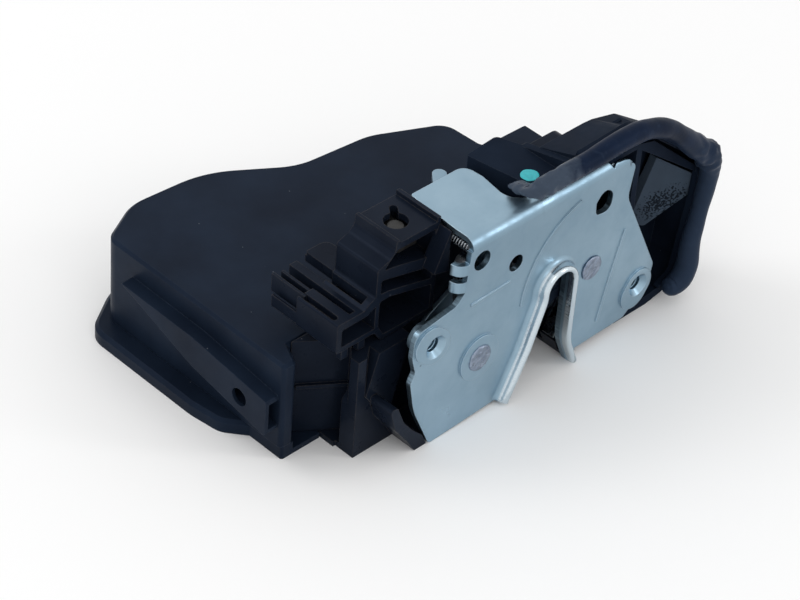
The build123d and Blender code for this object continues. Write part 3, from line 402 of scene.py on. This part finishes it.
# painted highlight: the colour of the melted end is lightened towards the tip; its gloss is real roughness
melt_painted_highlight = mixed_colour(foam_tree, remap(foam_tree, melt_gloss_and_highlight, 0.0, 1.0, 0.0, 0.6), side_lit_skin, linear("#4e5967"))
foam_tree.links.new(melt_painted_highlight, foam_shader.inputs["Base Color"])
shiny = add(foam_tree, "ShaderNodeMix", {0: melt_gloss_and_highlight, 2: source_of(foam_shader, "Roughness"), 3: 0.1},
            data_type="FLOAT").outputs[0]
foam_tree.links.new(shiny, foam_shader.inputs["Roughness"])
puddle = add(foam_tree, "ShaderNodeMath", {0: edge_noise.outputs["Fac"], 1: melt_gloss_and_highlight}, operation="MULTIPLY")
flowed = height_stack(foam_tree, source_of(foam_shader, "Normal"), [(puddle.outputs["Value"], 0.6, 1.2)])
foam_tree.links.new(flowed, foam_shader.inputs["Normal"])
print("melted end from y =", MELT_AND_HIGHLIGHT_FROM, "mm down to", MELT_AND_HIGHLIGHT_FULL, "mm")


# %% [markdown]
# The slider under the keyhole is acetal with a coat of old grease, which is why it looks nearly black
# through the hole. Grease is wet: low roughness, slow waves from the brush.

# %% Greased slider
GREASE, grease_tree, grease_shader = new_material("POM slider under grease, moulded and brushed")
place = add(grease_tree, "ShaderNodeTexCoord").outputs["Object"]
tone, slow = clouds(grease_tree, place, 2.5, "#0c0c0c", "#191817", 0.3, 0.7, 3.0)
grease_tree.links.new(tone, grease_shader.inputs["Base Color"])
rounded = add(grease_tree, "ShaderNodeBevel", {"Radius": 0.3 * MM}, samples=4).outputs["Normal"]
brushed = height_stack(grease_tree, rounded, [(slow, 0.5, 0.4)])
grease_tree.links.new(brushed, grease_shader.inputs["Normal"])
grease_shader.inputs["Roughness"].default_value = 0.35
grease_shader.inputs["IOR"].default_value = 1.47
print("grease:", GREASE.name)


# %% [markdown]
# The guide panel in the window is lighter, grey nylon. A band across it is eroded into fine dark crumbs.
# The distance from a slanted line, torn by strong noise, switches the crumbs on: of the way from the band's
# middle only the share that leads off the line counts in full.

# %% Grey nylon panel
PA_GREY = moulded_plastic("PA66 grey, moulded", "#3a4450", "#465362", "#5c6875", 0.5, grain_mm=0.8)
panel_tree = PA_GREY.node_tree
panel_shader = panel_tree.nodes["Principled BSDF"]
place = add(panel_tree, "ShaderNodeTexCoord").outputs["Object"]
PATCH_CENTRE = Vector((-8.0, 60.0, 34.5)) * MM
PATCH_LINE = Vector((0.0, 19.3, 7.9)).normalized()
PATCH_REACH = 6.5 * MM
from_middle = add(panel_tree, "ShaderNodeVectorMath", {0: place, 1: PATCH_CENTRE},
                  operation="SUBTRACT").outputs[0]
on_line = add(panel_tree, "ShaderNodeVectorMath", {0: from_middle, 1: PATCH_LINE},
              operation="PROJECT").outputs[0]
shorter = add(panel_tree, "ShaderNodeVectorMath", {0: on_line, "Scale": 0.6}, operation="SCALE").outputs[0]
off_line = add(panel_tree, "ShaderNodeVectorMath", {0: from_middle, 1: shorter},
               operation="SUBTRACT").outputs[0]
away = add(panel_tree, "ShaderNodeVectorMath", {0: off_line}, operation="LENGTH").outputs["Value"]
ragged = add(panel_tree, "ShaderNodeTexNoise", {"Vector": place, "Scale": pattern_scale(0.8), "Detail": 8.0})
reach = remap(panel_tree, ragged.outputs["Fac"], 0.4, 0.62, 0.0, PATCH_REACH)
inside = add(panel_tree, "ShaderNodeMath", {0: reach, 1: away}, operation="SUBTRACT").outputs["Value"]
patch = remap(panel_tree, inside, 0.0, 0.5 * MM, 0.0, 1.0)
eroded = mixed_colour(panel_tree, remap(panel_tree, patch, 0.0, 1.0, 0.0, 0.85),
                      source_of(panel_shader, "Base Color"), linear("#10141b"))
panel_tree.links.new(eroded, panel_shader.inputs["Base Color"])
crumbs = add(panel_tree, "ShaderNodeMath", {0: ragged.outputs["Fac"], 1: patch}, operation="MULTIPLY")
rough_patch = height_stack(panel_tree, source_of(panel_shader, "Normal"),
                           [(crumbs.outputs["Value"], 0.9, 0.8)])
panel_tree.links.new(rough_patch, panel_shader.inputs["Normal"])
print("rough patch round", [round(c / MM, 1) for c in PATCH_CENTRE])


# %% [markdown]
# A dab of turquoise lacquer on the lug marks a latch that passed its test. It is put on with a felt pen or
# a small brush, so it is smooth, slightly domed and glossy.

# %% Marking lacquer
LACQUER, lacquer_tree, lacquer_shader = new_material("Nitro lacquer, dabbed on")
place = add(lacquer_tree, "ShaderNodeTexCoord").outputs["Object"]
tone = clouds(lacquer_tree, place, 2.0, "#1fa3ac", "#2fbcc4", 0.3, 0.7, 3.0)[0]
lacquer_tree.links.new(tone, lacquer_shader.inputs["Base Color"])
lacquer_shader.inputs["Roughness"].default_value = 0.38
lacquer_shader.inputs["IOR"].default_value = 1.48
print("lacquer:", LACQUER.name)


# %% [markdown]
# Each node of the frame gets its finish here and keeps its shape. Those that a piece below stands for are
# dressed as well, so that no node is left without a finish.

# %% Dress the nodes
FINISH = {
    ZINC: ["latch_plate"],
    BACK_ZINC: ["backing_plate", "release_lever", "motor"],
    PEENED: ["claw_rivet", "pawl_rivet"],
    STEEL: ["claw", "pawl", "lever_pin", "axles", "case_screws"],
    SPRING: ["claw_spring", "pawl_spring", "lever_spring", "worm"],
    PBT_CASING: ["casing_cover", "casing_base"],
    PBT_BRACKET: ["latch_housing", "bracket_tower", "switches", "claw_jacket"],
    PBT_HOUSING: ["seal_housing"],
    PA_GREY: ["window_fin"],
    POM_WHITE: ["worm_wheel", "lock_lever"],
    GREASE: ["grease_block"],
    RUBBER: ["bumper"],
    FOAM: ["foam_seal"],
    BRASS: ["lead_frame"],
}
for finish, names in FINISH.items():
    for name in names:
        for material_slot in part[name].material_slots:
            material_slot.material = finish
dressed = sum(len(names) for names in FINISH.values())
print("dressed nodes:", dressed, "of", len(part))


# %% [markdown]
# The soft and small forms below are skins over rows of points: a foam tube, a spring wire, a screw thread,
# a spun rivet, a bent lip of sheet. Each row becomes a line or a ring of vertices, and neighbouring rows
# are joined by quads, as a boat's planks join its ribs. One helper builds them all, says which solid each
# stands for, if any, and makes it ride with the latch. Extrude and Screw modifiers could do some of them,
# but rows let every form bend.

# %% Rows of points to a skin
def skin(name, rows, material, stands_for=None, closed=True, caps=(True, True)):
    mesh = bmesh.new()
    lines = [[mesh.verts.new(Vector(point) * MM) for point in row] for row in rows]
    last = len(lines[0]) if closed else len(lines[0]) - 1
    for one, two in zip(lines, lines[1:]):
        for k in range(last):
            n = (k + 1) % len(one)
            mesh.faces.new((one[k], one[n], two[n], two[k]))
    for line in [end for end, wanted in zip((lines[0], lines[-1]), caps) if wanted]:
        middle = mesh.verts.new(sum((v.co for v in line), Vector()) / len(line))
        for k in range(len(line)):
            mesh.faces.new((line[k], line[(k + 1) % len(line)], middle))
    bmesh.ops.recalc_face_normals(mesh, faces=mesh.faces)
    data = bpy.data.meshes.new(name)
    mesh.to_mesh(data)
    mesh.free()
    for face in data.polygons:
        face.use_smooth = True
    data.materials.append(material)
    made = bpy.data.objects.new(name, data)
    bpy.context.scene.collection.objects.link(made)
    if stands_for:
        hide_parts(stands_for)
    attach(made, "latch_frame")
    print(name, "has", len(data.vertices), "points")
    return made


print("skin helper ready")


# %% [markdown]
# A tube is a ring carried along a path. The path is a smooth curve through a few stations, and each station
# also holds the ring's two half widths, so the tube can be pinched or swell. The ring is kept from twisting
# by turning it only as much as the path turns.

# %% Rings along a path
def smooth_path(stations, steps):
    """Points of a Catmull-Rom curve through the stations, all five values eased alike."""
    rows = [Vector(s) for s in stations]
    rows = [rows[0] * 2 - rows[1], *rows, rows[-1] * 2 - rows[-2]]
    out = []
    for a, b, c, d in zip(rows, rows[1:], rows[2:], rows[3:]):
        for i in range(steps):
            t = i / steps
            out.append(0.5 * (b * 2 + (c - a) * t + (a * 2 - b * 5 + c * 4 - d) * t * t
                              + (b * 3 - a - c * 3 + d) * t ** 3))
    out.append(rows[-2])
    return out


def tube_rings(rows, count, lumps=None):
    """A ring of count points round each row's place; lumps says how far each point is pushed out."""
    middle = [row.xyz for row in rows]
    normal = Vector((0, 0, 1))
    rings = []
    for i, row in enumerate(rows):
        ahead = (middle[min(i + 1, len(rows) - 1)] - middle[max(i - 1, 0)]).normalized()
        normal = (normal - ahead * normal.dot(ahead)).normalized()
        across = ahead.cross(normal)
        ring = []
        for k in range(count):
            angle = 2 * math.pi * k / count
            spoke = across * (math.cos(angle) * row[3]) + normal * (math.sin(angle) * row[4])
            push = lumps(middle[i] + spoke) if lumps else 0.0
            ring.append(middle[i] + spoke + spoke.normalized() * push)
        rings.append(ring)
    return rings


print("ring helpers ready")


# %% [markdown]
# The seal is one length of foam tube pushed onto the rim of its housing. Its left end is pinched flat and
# welded over the lug, it swells at the top right corner where it is bent sharply, and it runs thinner down
# the side. Noise moves the skin by a few tenths of a millimetre, and by more at the weld and in the corner,
# which takes away the drawn look.

# %% Foam seal
# x, y, z of the middle line, then half the depth and half the height of the tube, all in millimetres
SEAL_STATIONS = [
    (-10.6, -11.6, 76.2, 1.5, 0.4), (-9.8, -11.9, 76.4, 2.9, 1.0), (-7.6, -12.3, 76.9, 3.2, 1.5),
    (-5.0, -12.6, 77.7, 2.9, 1.7), (-3.0, -12.7, 78.4, 3.1, 2.3), (-0.6, -12.0, 80.0, 3.4, 3.1),
    (1.0, -9.0, 81.6, 3.5, 3.5), (2.2, -3.0, 83.0, 3.45, 3.45), (2.65, 8.2, 83.8, 3.45, 3.45),
    (2.65, 18.0, 84.6, 3.45, 3.45), (2.65, 25.0, 84.7, 3.45, 3.4), (2.65, 31.4, 83.9, 3.4, 3.3),
    (2.65, 38.6, 81.5, 3.4, 3.3), (2.7, 45.7, 77.3, 3.5, 3.4), (2.8, 51.5, 72.1, 3.6, 3.7),
    (2.9, 58.0, 66.0, 3.9, 4.1), (3.1, 64.0, 60.8, 4.2, 4.5), (2.9, 68.0, 55.2, 3.9, 4.0),
    (2.4, 69.4, 49.6, 3.4, 3.4), (2.2, 69.1, 44.6, 3.1, 3.1), (2.2, 68.0, 37.2, 3.0, 3.0),
    (2.2, 66.6, 30.6, 3.0, 3.0), (2.4, 65.2, 25.0, 3.2, 3.2), (2.7, 64.5, 19.6, 3.5, 3.5),
    (2.9, 64.2, 14.0, 3.8, 3.9), (2.8, 62.4, 9.4, 3.8, 3.9), (2.4, 59.4, 7.2, 3.5, 3.5),
    (2.0, 57.0, 7.2, 2.9, 2.9), (1.8, 55.8, 7.4, 1.4, 1.4),
]
CORNER = Vector((4, 65, 61))
CORNER_REACH = 13
WELD_FROM_Y = -2.0
WELD_FADE = 6
# distance between lumps, and their height
LUMPS_ALL_OVER = (9.0, 0.3)
LUMPS_IN_CORNER = (3.2, 1.9)
LUMPS_AT_WELD = (2.6, 0.9)


def lump(point, apart, height):
    return noise.noise(point / apart) * height


def seal_lumps(point):
    near_corner = max(0.0, 1 - (point - CORNER).length / CORNER_REACH)
    welded = max(0.0, min(1.0, (WELD_FROM_Y - point.y) / WELD_FADE))
    return (lump(point, *LUMPS_ALL_OVER) + near_corner * lump(point, *LUMPS_IN_CORNER)
            + welded * lump(point, *LUMPS_AT_WELD))


skin("foam_tube", tube_rings(smooth_path(SEAL_STATIONS, 7), 28, seal_lumps), FOAM,
     stands_for="foam_seal")


# %% [markdown]
# Behind its top run the seal has a foot of the same foam, which fills the gap to the housing's front. The
# camera never sees it, but from above and from behind the tube would hang free without it. It is the same
# kind of tube, flatter, along a line just behind and below the seal's own.

# %% Foot of the seal
FOOT_STATIONS = [
    (-1.4, 4.5, 80.2, 2.4, 1.6), (-1.4, 9.0, 81.0, 2.4, 1.7), (-1.4, 18.0, 81.7, 2.4, 1.7),
    (-1.4, 26.0, 81.6, 2.4, 1.7), (-1.4, 32.0, 80.7, 2.4, 1.7), (-1.4, 38.6, 78.4, 2.4, 1.7),
    (-1.4, 44.8, 74.6, 2.4, 1.7), (-1.2, 50.0, 70.4, 2.2, 1.6),
    (-0.6, 57.0, 64.6, 1.8, 1.7), (-0.2, 63.5, 59.0, 1.5, 1.7), (-0.2, 67.5, 52.0, 1.3, 1.5),
]
skin("foam_foot", tube_rings(smooth_path(FOOT_STATIONS, 5), 20, seal_lumps), FOAM)


# %% [markdown]
# Between the plate's right edge and the window the housing has a web. It closes the slit that would
# otherwise let light through beside the plate. Four corners are carried up along Z.

# %% Web beside the window
WEB_CORNERS = [(-12.0, 31.5), (-12.0, 38.5), (-13.2, 38.5), (-13.2, 31.5)]
WEB_HEIGHTS = (49.0, 58.0, 67.0, 76.5)
web_rows = [[(x, y, z) for x, y in WEB_CORNERS] for z in WEB_HEIGHTS]
web = skin("window_web", web_rows, PBT_HOUSING)
web.data.polygons.foreach_set("use_smooth", [False] * len(web.data.polygons))


# %% [markdown]
# The roof of the seal's housing slopes down to the back in one smooth arch. The solid's roof is nearly
# level, so the piece is made again from the solid's own points: those on the roof's rear edge are lowered
# onto the arch, given as heights over Y, and the rest stay. Edges sharper than 14 degrees stay crisp, the
# others are shaded as one skin.

# %% Arched roof of the seal housing
ROOF_REAR = [(0.0, 77.1), (27.0, 77.1), (30.8, 76.8), (36.0, 75.9), (41.4, 74.1), (43.0, 73.3)]
ROOF_REAR_X = -17.9
ROOF_FROM_Y = 6.9
ROOF_FROM_Z = 77.2
SHOULDER_Y, SHOULDER_Z = 41.0, 75.5
CRISP_EDGE = math.radians(14)


def roof_height(y):
    for (y0, z0), (y1, z1) in zip(ROOF_REAR, ROOF_REAR[1:]):
        if y <= y1:
            return z0 + (z1 - z0) * (y - y0) / (y1 - y0)
    return ROOF_REAR[-1][1]


def on_rear_edge(x, y, z):
    on_roof = z > ROOF_FROM_Z or (y > SHOULDER_Y and z > SHOULDER_Z)
    return on_roof and x < ROOF_REAR_X and y > ROOF_FROM_Y


shell = bmesh.new()
shell.from_mesh(part["seal_housing"].data)
bmesh.ops.remove_doubles(shell, verts=shell.verts, dist=0.001 * MM)
lowered = 0
for vert in shell.verts:
    x, y, z = vert.co / MM
    if on_rear_edge(x, y, z):
        vert.co.z = roof_height(y) * MM
        lowered += 1
shell.verts.index_update()
housing_data = bpy.data.meshes.new("seal_housing_arched")
points = [v.co[:] for v in shell.verts]
faces = [[v.index for v in face.verts] for face in shell.faces]
housing_data.from_pydata(points, [], faces)
shell.free()
for face in housing_data.polygons:
    face.use_smooth = True
housing_data.set_sharp_from_angle(angle=CRISP_EDGE)
housing_data.materials.append(PBT_HOUSING)
housing = bpy.data.objects.new("seal_housing_arched", housing_data)
bpy.context.scene.collection.objects.link(housing)
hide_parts("seal_housing")
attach(housing, "latch_frame")
print("roof points lowered:", lowered)


# %% [markdown]
# Right of the flange the sheet keeps its bend, and the seal lies on it. The solid ends in a plain cut edge
# there, so a strip of the same sheet is skinned from profiles set side by side along Y. Each profile
# follows the bend of 4 mm outside radius up to its own angle: a full quarter beside the flange, less
# towards the end, with a torn notch where the blank was cut from its strip.

# %% Bent lip of the plate
# middle of the bend, and radii that let the strip lie a hair outside the solid's own bend
BEND_X, BEND_Z = -4.0, 70.0
BEND_OUT = 4.03
BEND_IN = 2.0
BEND_STEPS = 10
# how far the strip reaches down the plate below the bend, on its outer and on its inner side
DOWN_OUT, DOWN_IN = 1.2, 0.3
# y in millimetres, and the angle in degrees that the bend reaches there
LIP = [(-9.0, 88), (-6.0, 88), (-2.0, 86), (3.0, 74), (8.0, 67), (14.0, 66), (20.0, 66), (21.6, 64),
       (22.2, 46), (22.8, 24), (23.4, 20), (24.0, 34), (24.8, 40), (26.0, 36), (28.0, 33), (30.0, 24),
       (31.2, 8)]


def lip_arc(y, radius, angles):
    return [(radius * math.cos(a) + BEND_X, y, BEND_Z + radius * math.sin(a)) for a in angles]


def lip_profile(y, reach):
    angles = [math.radians(reach) * i / BEND_STEPS for i in range(BEND_STEPS + 1)]
    return [(BEND_OUT + BEND_X, y, BEND_Z - DOWN_OUT), *lip_arc(y, BEND_OUT, angles),
            *lip_arc(y, BEND_IN, angles[::-1]), (BEND_IN + BEND_X, y, BEND_Z - DOWN_IN)]


lip_rows = [lip_profile(y, reach) for y, reach in LIP]
skin("bent_lip", lip_rows, ZINC, closed=False, caps=(False, True))


# %% [markdown]
# The throat's rim is drawn out of the sheet, so it rises from the plate in a soft curve and rolls over at
# its top. The solid keeps it as a square wall, which is right for its size, and a rolled skin is laid over
# it here: one profile of distance from the throat and height out of the plate, carried round the throat's
# outline. The outline is a row of corners with their radii, and a small function rounds them off. At both
# feet the profile sinks into the plate within a millimetre.

# %% Rolled rim of the throat
# y, z and radius of each corner
THROAT = [(-20.0, 1.1, 0), (-17.5, 6.3, 4), (-12.0, 18.0, 30), (-5.9, 35.5, 12), (-5.9, 43.5, 5.8),
          (5.9, 43.5, 5.8), (5.7, 12.0, 20), (10.3, 1.1, 0)]
# distance from the outline, and height out of the plate
RIM_PROFILE = [(4.4, -0.05), (3.7, 0.05), (3.1, 0.28), (2.6, 0.72), (2.25, 1.4), (2.08, 2.2), (2.0, 2.9),
               (1.8, 3.45), (1.45, 3.85), (1.0, 4.02), (0.5, 3.98), (0.1, 3.75), (-0.1, 3.35), (-0.14, 2.7),
               (-0.14, 0.5), (-0.14, -1.9)]
# share of the full height on the way down a foot
FOOT_HEIGHTS = [1.0, 0.95, 0.8, 0.5, 0.0]
FOOT_LENGTH = 1.0
CORNER_STEPS = 8


def rounded_line(corners):
    """The corners' outline, with each corner rounded by its own radius."""
    out = [Vector(corners[0][:2])]
    for before, here, after in zip(corners, corners[1:], corners[2:]):
        middle, radius = Vector(here[:2]), here[2]
        back = (Vector(before[:2]) - middle).normalized()
        on = (Vector(after[:2]) - middle).normalized()
        half = back.angle(on) / 2
        reach = radius / math.tan(half)
        centre = middle + (back + on).normalized() * (radius / math.sin(half))
        start, end = middle + back * reach - centre, middle + on * reach - centre
        for i in range(CORNER_STEPS + 1):
            spoke = start.slerp(end, i / CORNER_STEPS)
            out.append(centre + spoke.normalized() * radius)
    out.append(Vector(corners[-1][:2]))
    return out


def foot_steps(down):
    """Share of the rim's height, and the shift from the outline's end, for each row of a foot."""
    last = len(FOOT_HEIGHTS) - 1
    return [(share, down * FOOT_LENGTH * step / last) for step, share in enumerate(FOOT_HEIGHTS)]


outline = rounded_line(THROAT)
rim_rows = []
for i, point in enumerate(outline):
    ahead = (outline[min(i + 1, len(outline) - 1)] - outline[max(i - 1, 0)]).normalized()
    outward = Vector((-ahead.y, ahead.x))
    if i == 0:
        steps = foot_steps(-ahead)[::-1]
    elif i == len(outline) - 1:
        steps = foot_steps(ahead)
    else:
        steps = [(1.0, Vector((0, 0)))]
    for share, shift in steps:
        base = point + shift
        rim_rows.append([(x * share if x > 0 else x, *(base + outward * d)) for d, x in RIM_PROFILE])
skin("throat_rim", rim_rows, ZINC, closed=False, caps=(False, False))


# %% [markdown]
# The two rivets that carry the claw and the pawl are closed by spinning: the head is pressed almost flush
# and keeps a low, uneven dome. The shape is a profile turned round the rivet's axis, with the shank it had
# in the solid. Noise lifts and dents the head along X by a tenth of a millimetre and makes its rim uneven.

# %% Spun rivet heads
CLAW_AXIS = joint_at["claw_turn"][1:]
PAWL_AXIS = joint_at["pawl_turn"][1:]
SHANK_END, SHANK_R = -16.3, 3.5
RIVET_SIDES = 48
HEAD_FROM = 0.2
DENT = 0.16
UNEVEN = 0.03


def spun_rivet(name, centre, profile, stands_for):
    rows = []
    for x, radius in profile:
        spun = 1 if x > HEAD_FROM else 0
        row = []
        for k in range(RIVET_SIDES):
            angle = 2 * math.pi * k / RIVET_SIDES
            across, up = radius * math.cos(angle), radius * math.sin(angle)
            place = Vector((centre[0] + across, centre[1] + up, 3.0))
            dent = DENT * spun * noise.noise(place / 1.5)
            wide = 1 + UNEVEN * spun * noise.noise(Vector((math.cos(angle), math.sin(angle), 7.0)) * 2)
            row.append((x + dent, centre[0] + across * wide, centre[1] + up * wide))
        rows.append(row)
    return skin(name, rows, PEENED, stands_for=stands_for)


# height out of the plate, and radius
PAWL_HEAD = [(SHANK_END, SHANK_R), (0.3, SHANK_R), (0.35, 4.6), (0.75, 4.75), (1.05, 4.6), (1.2, 4.2),
             (1.22, 3.6), (1.15, 2.9), (1.2, 2.1), (1.25, 1.4), (1.2, 0.7)]
CLAW_HEAD = [(SHANK_END, SHANK_R), (-0.2, SHANK_R), (-0.1, 4.1), (0.3, 4.4), (0.52, 4.25), (0.62, 3.8),
             (0.6, 3.0), (0.66, 2.2), (0.62, 1.4), (0.64, 0.7)]
spun_rivet("pawl_rivet_spun", PAWL_AXIS, PAWL_HEAD, "pawl_rivet")
spun_rivet("claw_rivet_spun", CLAW_AXIS, CLAW_HEAD, "claw_rivet")


# %% [markdown]
# Both fixing holes are tapped M6: a ridge with a pitch of 1 mm winds down the bore. A thin wire wound along
# the bore's wall, half sunk in it, gives the same shadows as cut crests, and the solid's bore stays.

# %% Tapped threads
TURN_STEPS = 16
FIXING_HOLES = {"left": mount_at["fix_left"][1:], "right": mount_at["fix_right"][1:]}
THREAD_FROM, THREAD_TO = -1.7, -6.9
THREAD_R = 2.52
THREAD_PITCH = 1.0
CREST_R = 0.3


def helix(centre, x_from, x_to, radius, pitch, wire):
    """Stations of a wire wound round a line along X, as tube_rings takes them."""
    turns = abs(x_to - x_from) / pitch
    count = int(turns * TURN_STEPS)
    rows = []
    for i in range(count + 1):
        angle = math.pi / 2 + 2 * math.pi * turns * i / count
        x = x_from + (x_to - x_from) * i / count
        y, z = centre[0] + radius * math.cos(angle), centre[1] + radius * math.sin(angle)
        rows.append(Vector((x, y, z, wire, wire)))
    return rows


for side, centre in FIXING_HOLES.items():
    crest = helix(centre, THREAD_FROM, THREAD_TO, THREAD_R, THREAD_PITCH, CREST_R)
    skin("thread_" + side, tube_rings(crest, 8), ZINC)


# %% [markdown]
# The release lever is pulled back by a small coil spring beside the bend. In the solid it is a plain
# sleeve, so a wire of 0.6 mm is wound here in its place, with a pitch of 1.05 mm.

# %% Lever spring
SPRING_CENTRE = (-37.1, 68.4)
SPRING_FROM, SPRING_TO = -2.7, -12.4
SPRING_R = 1.55
SPRING_PITCH = 1.05
WIRE_R = 0.31
wire = helix(SPRING_CENTRE, SPRING_FROM, SPRING_TO, SPRING_R, SPRING_PITCH, WIRE_R)
skin("lever_spring_coil", tube_rings(wire, 10), SPRING, stands_for="lever_spring")


# %% [markdown]
# The dab of lacquer lies on the lug: a thin drop, 6 mm across, with a rim rounded by surface tension.

# %% Dab of lacquer
DAB = Vector((-11.1, -4.45, 75.6))
DAB_SIDES = 40
# radius and height of each ring, from the rim to the middle
DAB_RINGS = ((3.0, 0.0), (2.95, 0.08), (2.7, 0.15), (2.0, 0.19), (1.0, 0.2))
drop = []
for radius, height in DAB_RINGS:
    row = []
    for k in range(DAB_SIDES):
        angle = 2 * math.pi * k / DAB_SIDES
        out = Vector((math.cos(angle), math.sin(angle), 0))
        uneven = 1 + 0.08 * noise.noise(out * 1.5)
        row.append(DAB + out * (radius * uneven) + Vector((0, 0, height)))
    drop.append(row)
skin("lacquer_dab", drop, LACQUER)


# %% [markdown]
# The camera stands where the photographer's did: in front of the plate and well off to its left, looking
# down, a little rolled, with a long lens.

# %% Camera
AZIMUTH = math.radians(42.81)
ELEVATION = math.radians(39.30)
ROLL = math.radians(4.69)
DISTANCE = 937.5 * MM
TARGET = Vector((-28.0, -40.1, 34.0)) * MM
LENS_MM = 135.0

back = Vector((math.sin(AZIMUTH) * math.cos(ELEVATION), -math.cos(AZIMUTH) * math.cos(ELEVATION),
               math.sin(ELEVATION)))
level_right = Vector((math.cos(AZIMUTH), math.sin(AZIMUTH), 0))
level_up = back.cross(level_right)
right = level_right * math.cos(ROLL) + level_up * math.sin(ROLL)
up = level_up * math.cos(ROLL) - level_right * math.sin(ROLL)
camera_data = bpy.data.cameras.new("camera")
camera_data.lens = LENS_MM
camera_data.sensor_width = 36.0
camera_data.clip_start = 0.01
camera = bpy.data.objects.new("camera", camera_data)
bpy.context.scene.collection.objects.link(camera)
turn = Matrix((right, up, back)).transposed().to_4x4()
camera.matrix_world = Matrix.Translation(TARGET + back * DISTANCE) @ turn
bpy.context.scene.camera = camera
print("camera at", [round(c, 3) for c in camera.matrix_world.translation])


# %% [markdown]
# A white sheet under soft boxes: the key high on the camera's left, a weaker fill of the same size over the
# camera, and a narrow strip on its right whose reflection runs along the plate's bend and round the collar.
# The world is white where the camera or a reflection sees it, and dimmer as a light, so the floor keeps a
# soft shadow.

# %% Floor, world and lamps
def soft_box(name, place, aim, size, power):
    data = bpy.data.lights.new(name, "AREA")
    data.shape = "RECTANGLE"
    data.size, data.size_y = size
    data.energy = power
    lamp = bpy.data.objects.new(name, data)
    bpy.context.scene.collection.objects.link(lamp)
    lamp.location = place
    lamp.rotation_euler = (Vector(place) - Vector(aim)).to_track_quat("Z", "Y").to_euler()


# half the sheet's side, in metres as the lamps' places are
HALF = 4
floor_mesh = bpy.data.meshes.new("table")
floor_corners = [(-HALF, -HALF, 0), (HALF, -HALF, 0), (HALF, HALF, 0), (-HALF, HALF, 0)]
floor_mesh.from_pydata(floor_corners, [], [(0, 1, 2, 3)])
floor = bpy.data.objects.new("table", floor_mesh)
bpy.context.scene.collection.objects.link(floor)
sheet, _, sheet_shader = new_material("Matt white paper sheet")
sheet_shader.inputs["Base Color"].default_value = linear("#fafafa")
sheet_shader.inputs["Roughness"].default_value = 0.9
floor_mesh.materials.append(sheet)

WORLD_AS_LIGHT = 0.85
WORLD_AS_SEEN = 1.0
world = bpy.data.worlds.new("studio")
world.use_nodes = True
bpy.context.scene.world = world
sky = world.node_tree
sky.nodes.clear()
ray = add(sky, "ShaderNodeLightPath")
seen = add(sky, "ShaderNodeMath", {0: ray.outputs["Is Camera Ray"], 1: ray.outputs["Is Glossy Ray"]},
           operation="MAXIMUM")
seen_all = add(sky, "ShaderNodeMath", {0: seen.outputs["Value"], 1: ray.outputs["Is Transmission Ray"]},
               operation="MAXIMUM")
dim = add(sky, "ShaderNodeBackground", {"Color": linear("#ffffff"), "Strength": WORLD_AS_LIGHT})
bright = add(sky, "ShaderNodeBackground", {"Color": linear("#ffffff"), "Strength": WORLD_AS_SEEN})
blend = add(sky, "ShaderNodeMixShader", {0: seen_all.outputs["Value"], 1: dim.outputs["Background"],
                                         2: bright.outputs["Background"]})
add(sky, "ShaderNodeOutputWorld", {"Surface": blend.outputs["Shader"]})

soft_box("key", (-0.75, -0.55, 0.9), (-0.04, -0.02, 0.03), (0.5, 0.5), 2.6)
soft_box("fill", (0.75, -0.35, 0.75), (-0.02, -0.03, 0.04), (0.5, 0.5), 0.8)
soft_box("strip", (0.86, 0.66, 0.55), (-0.01, -0.02, 0.06), (0.16, 0.6), 1.9)

bpy.context.scene.view_settings.view_transform = "Standard"
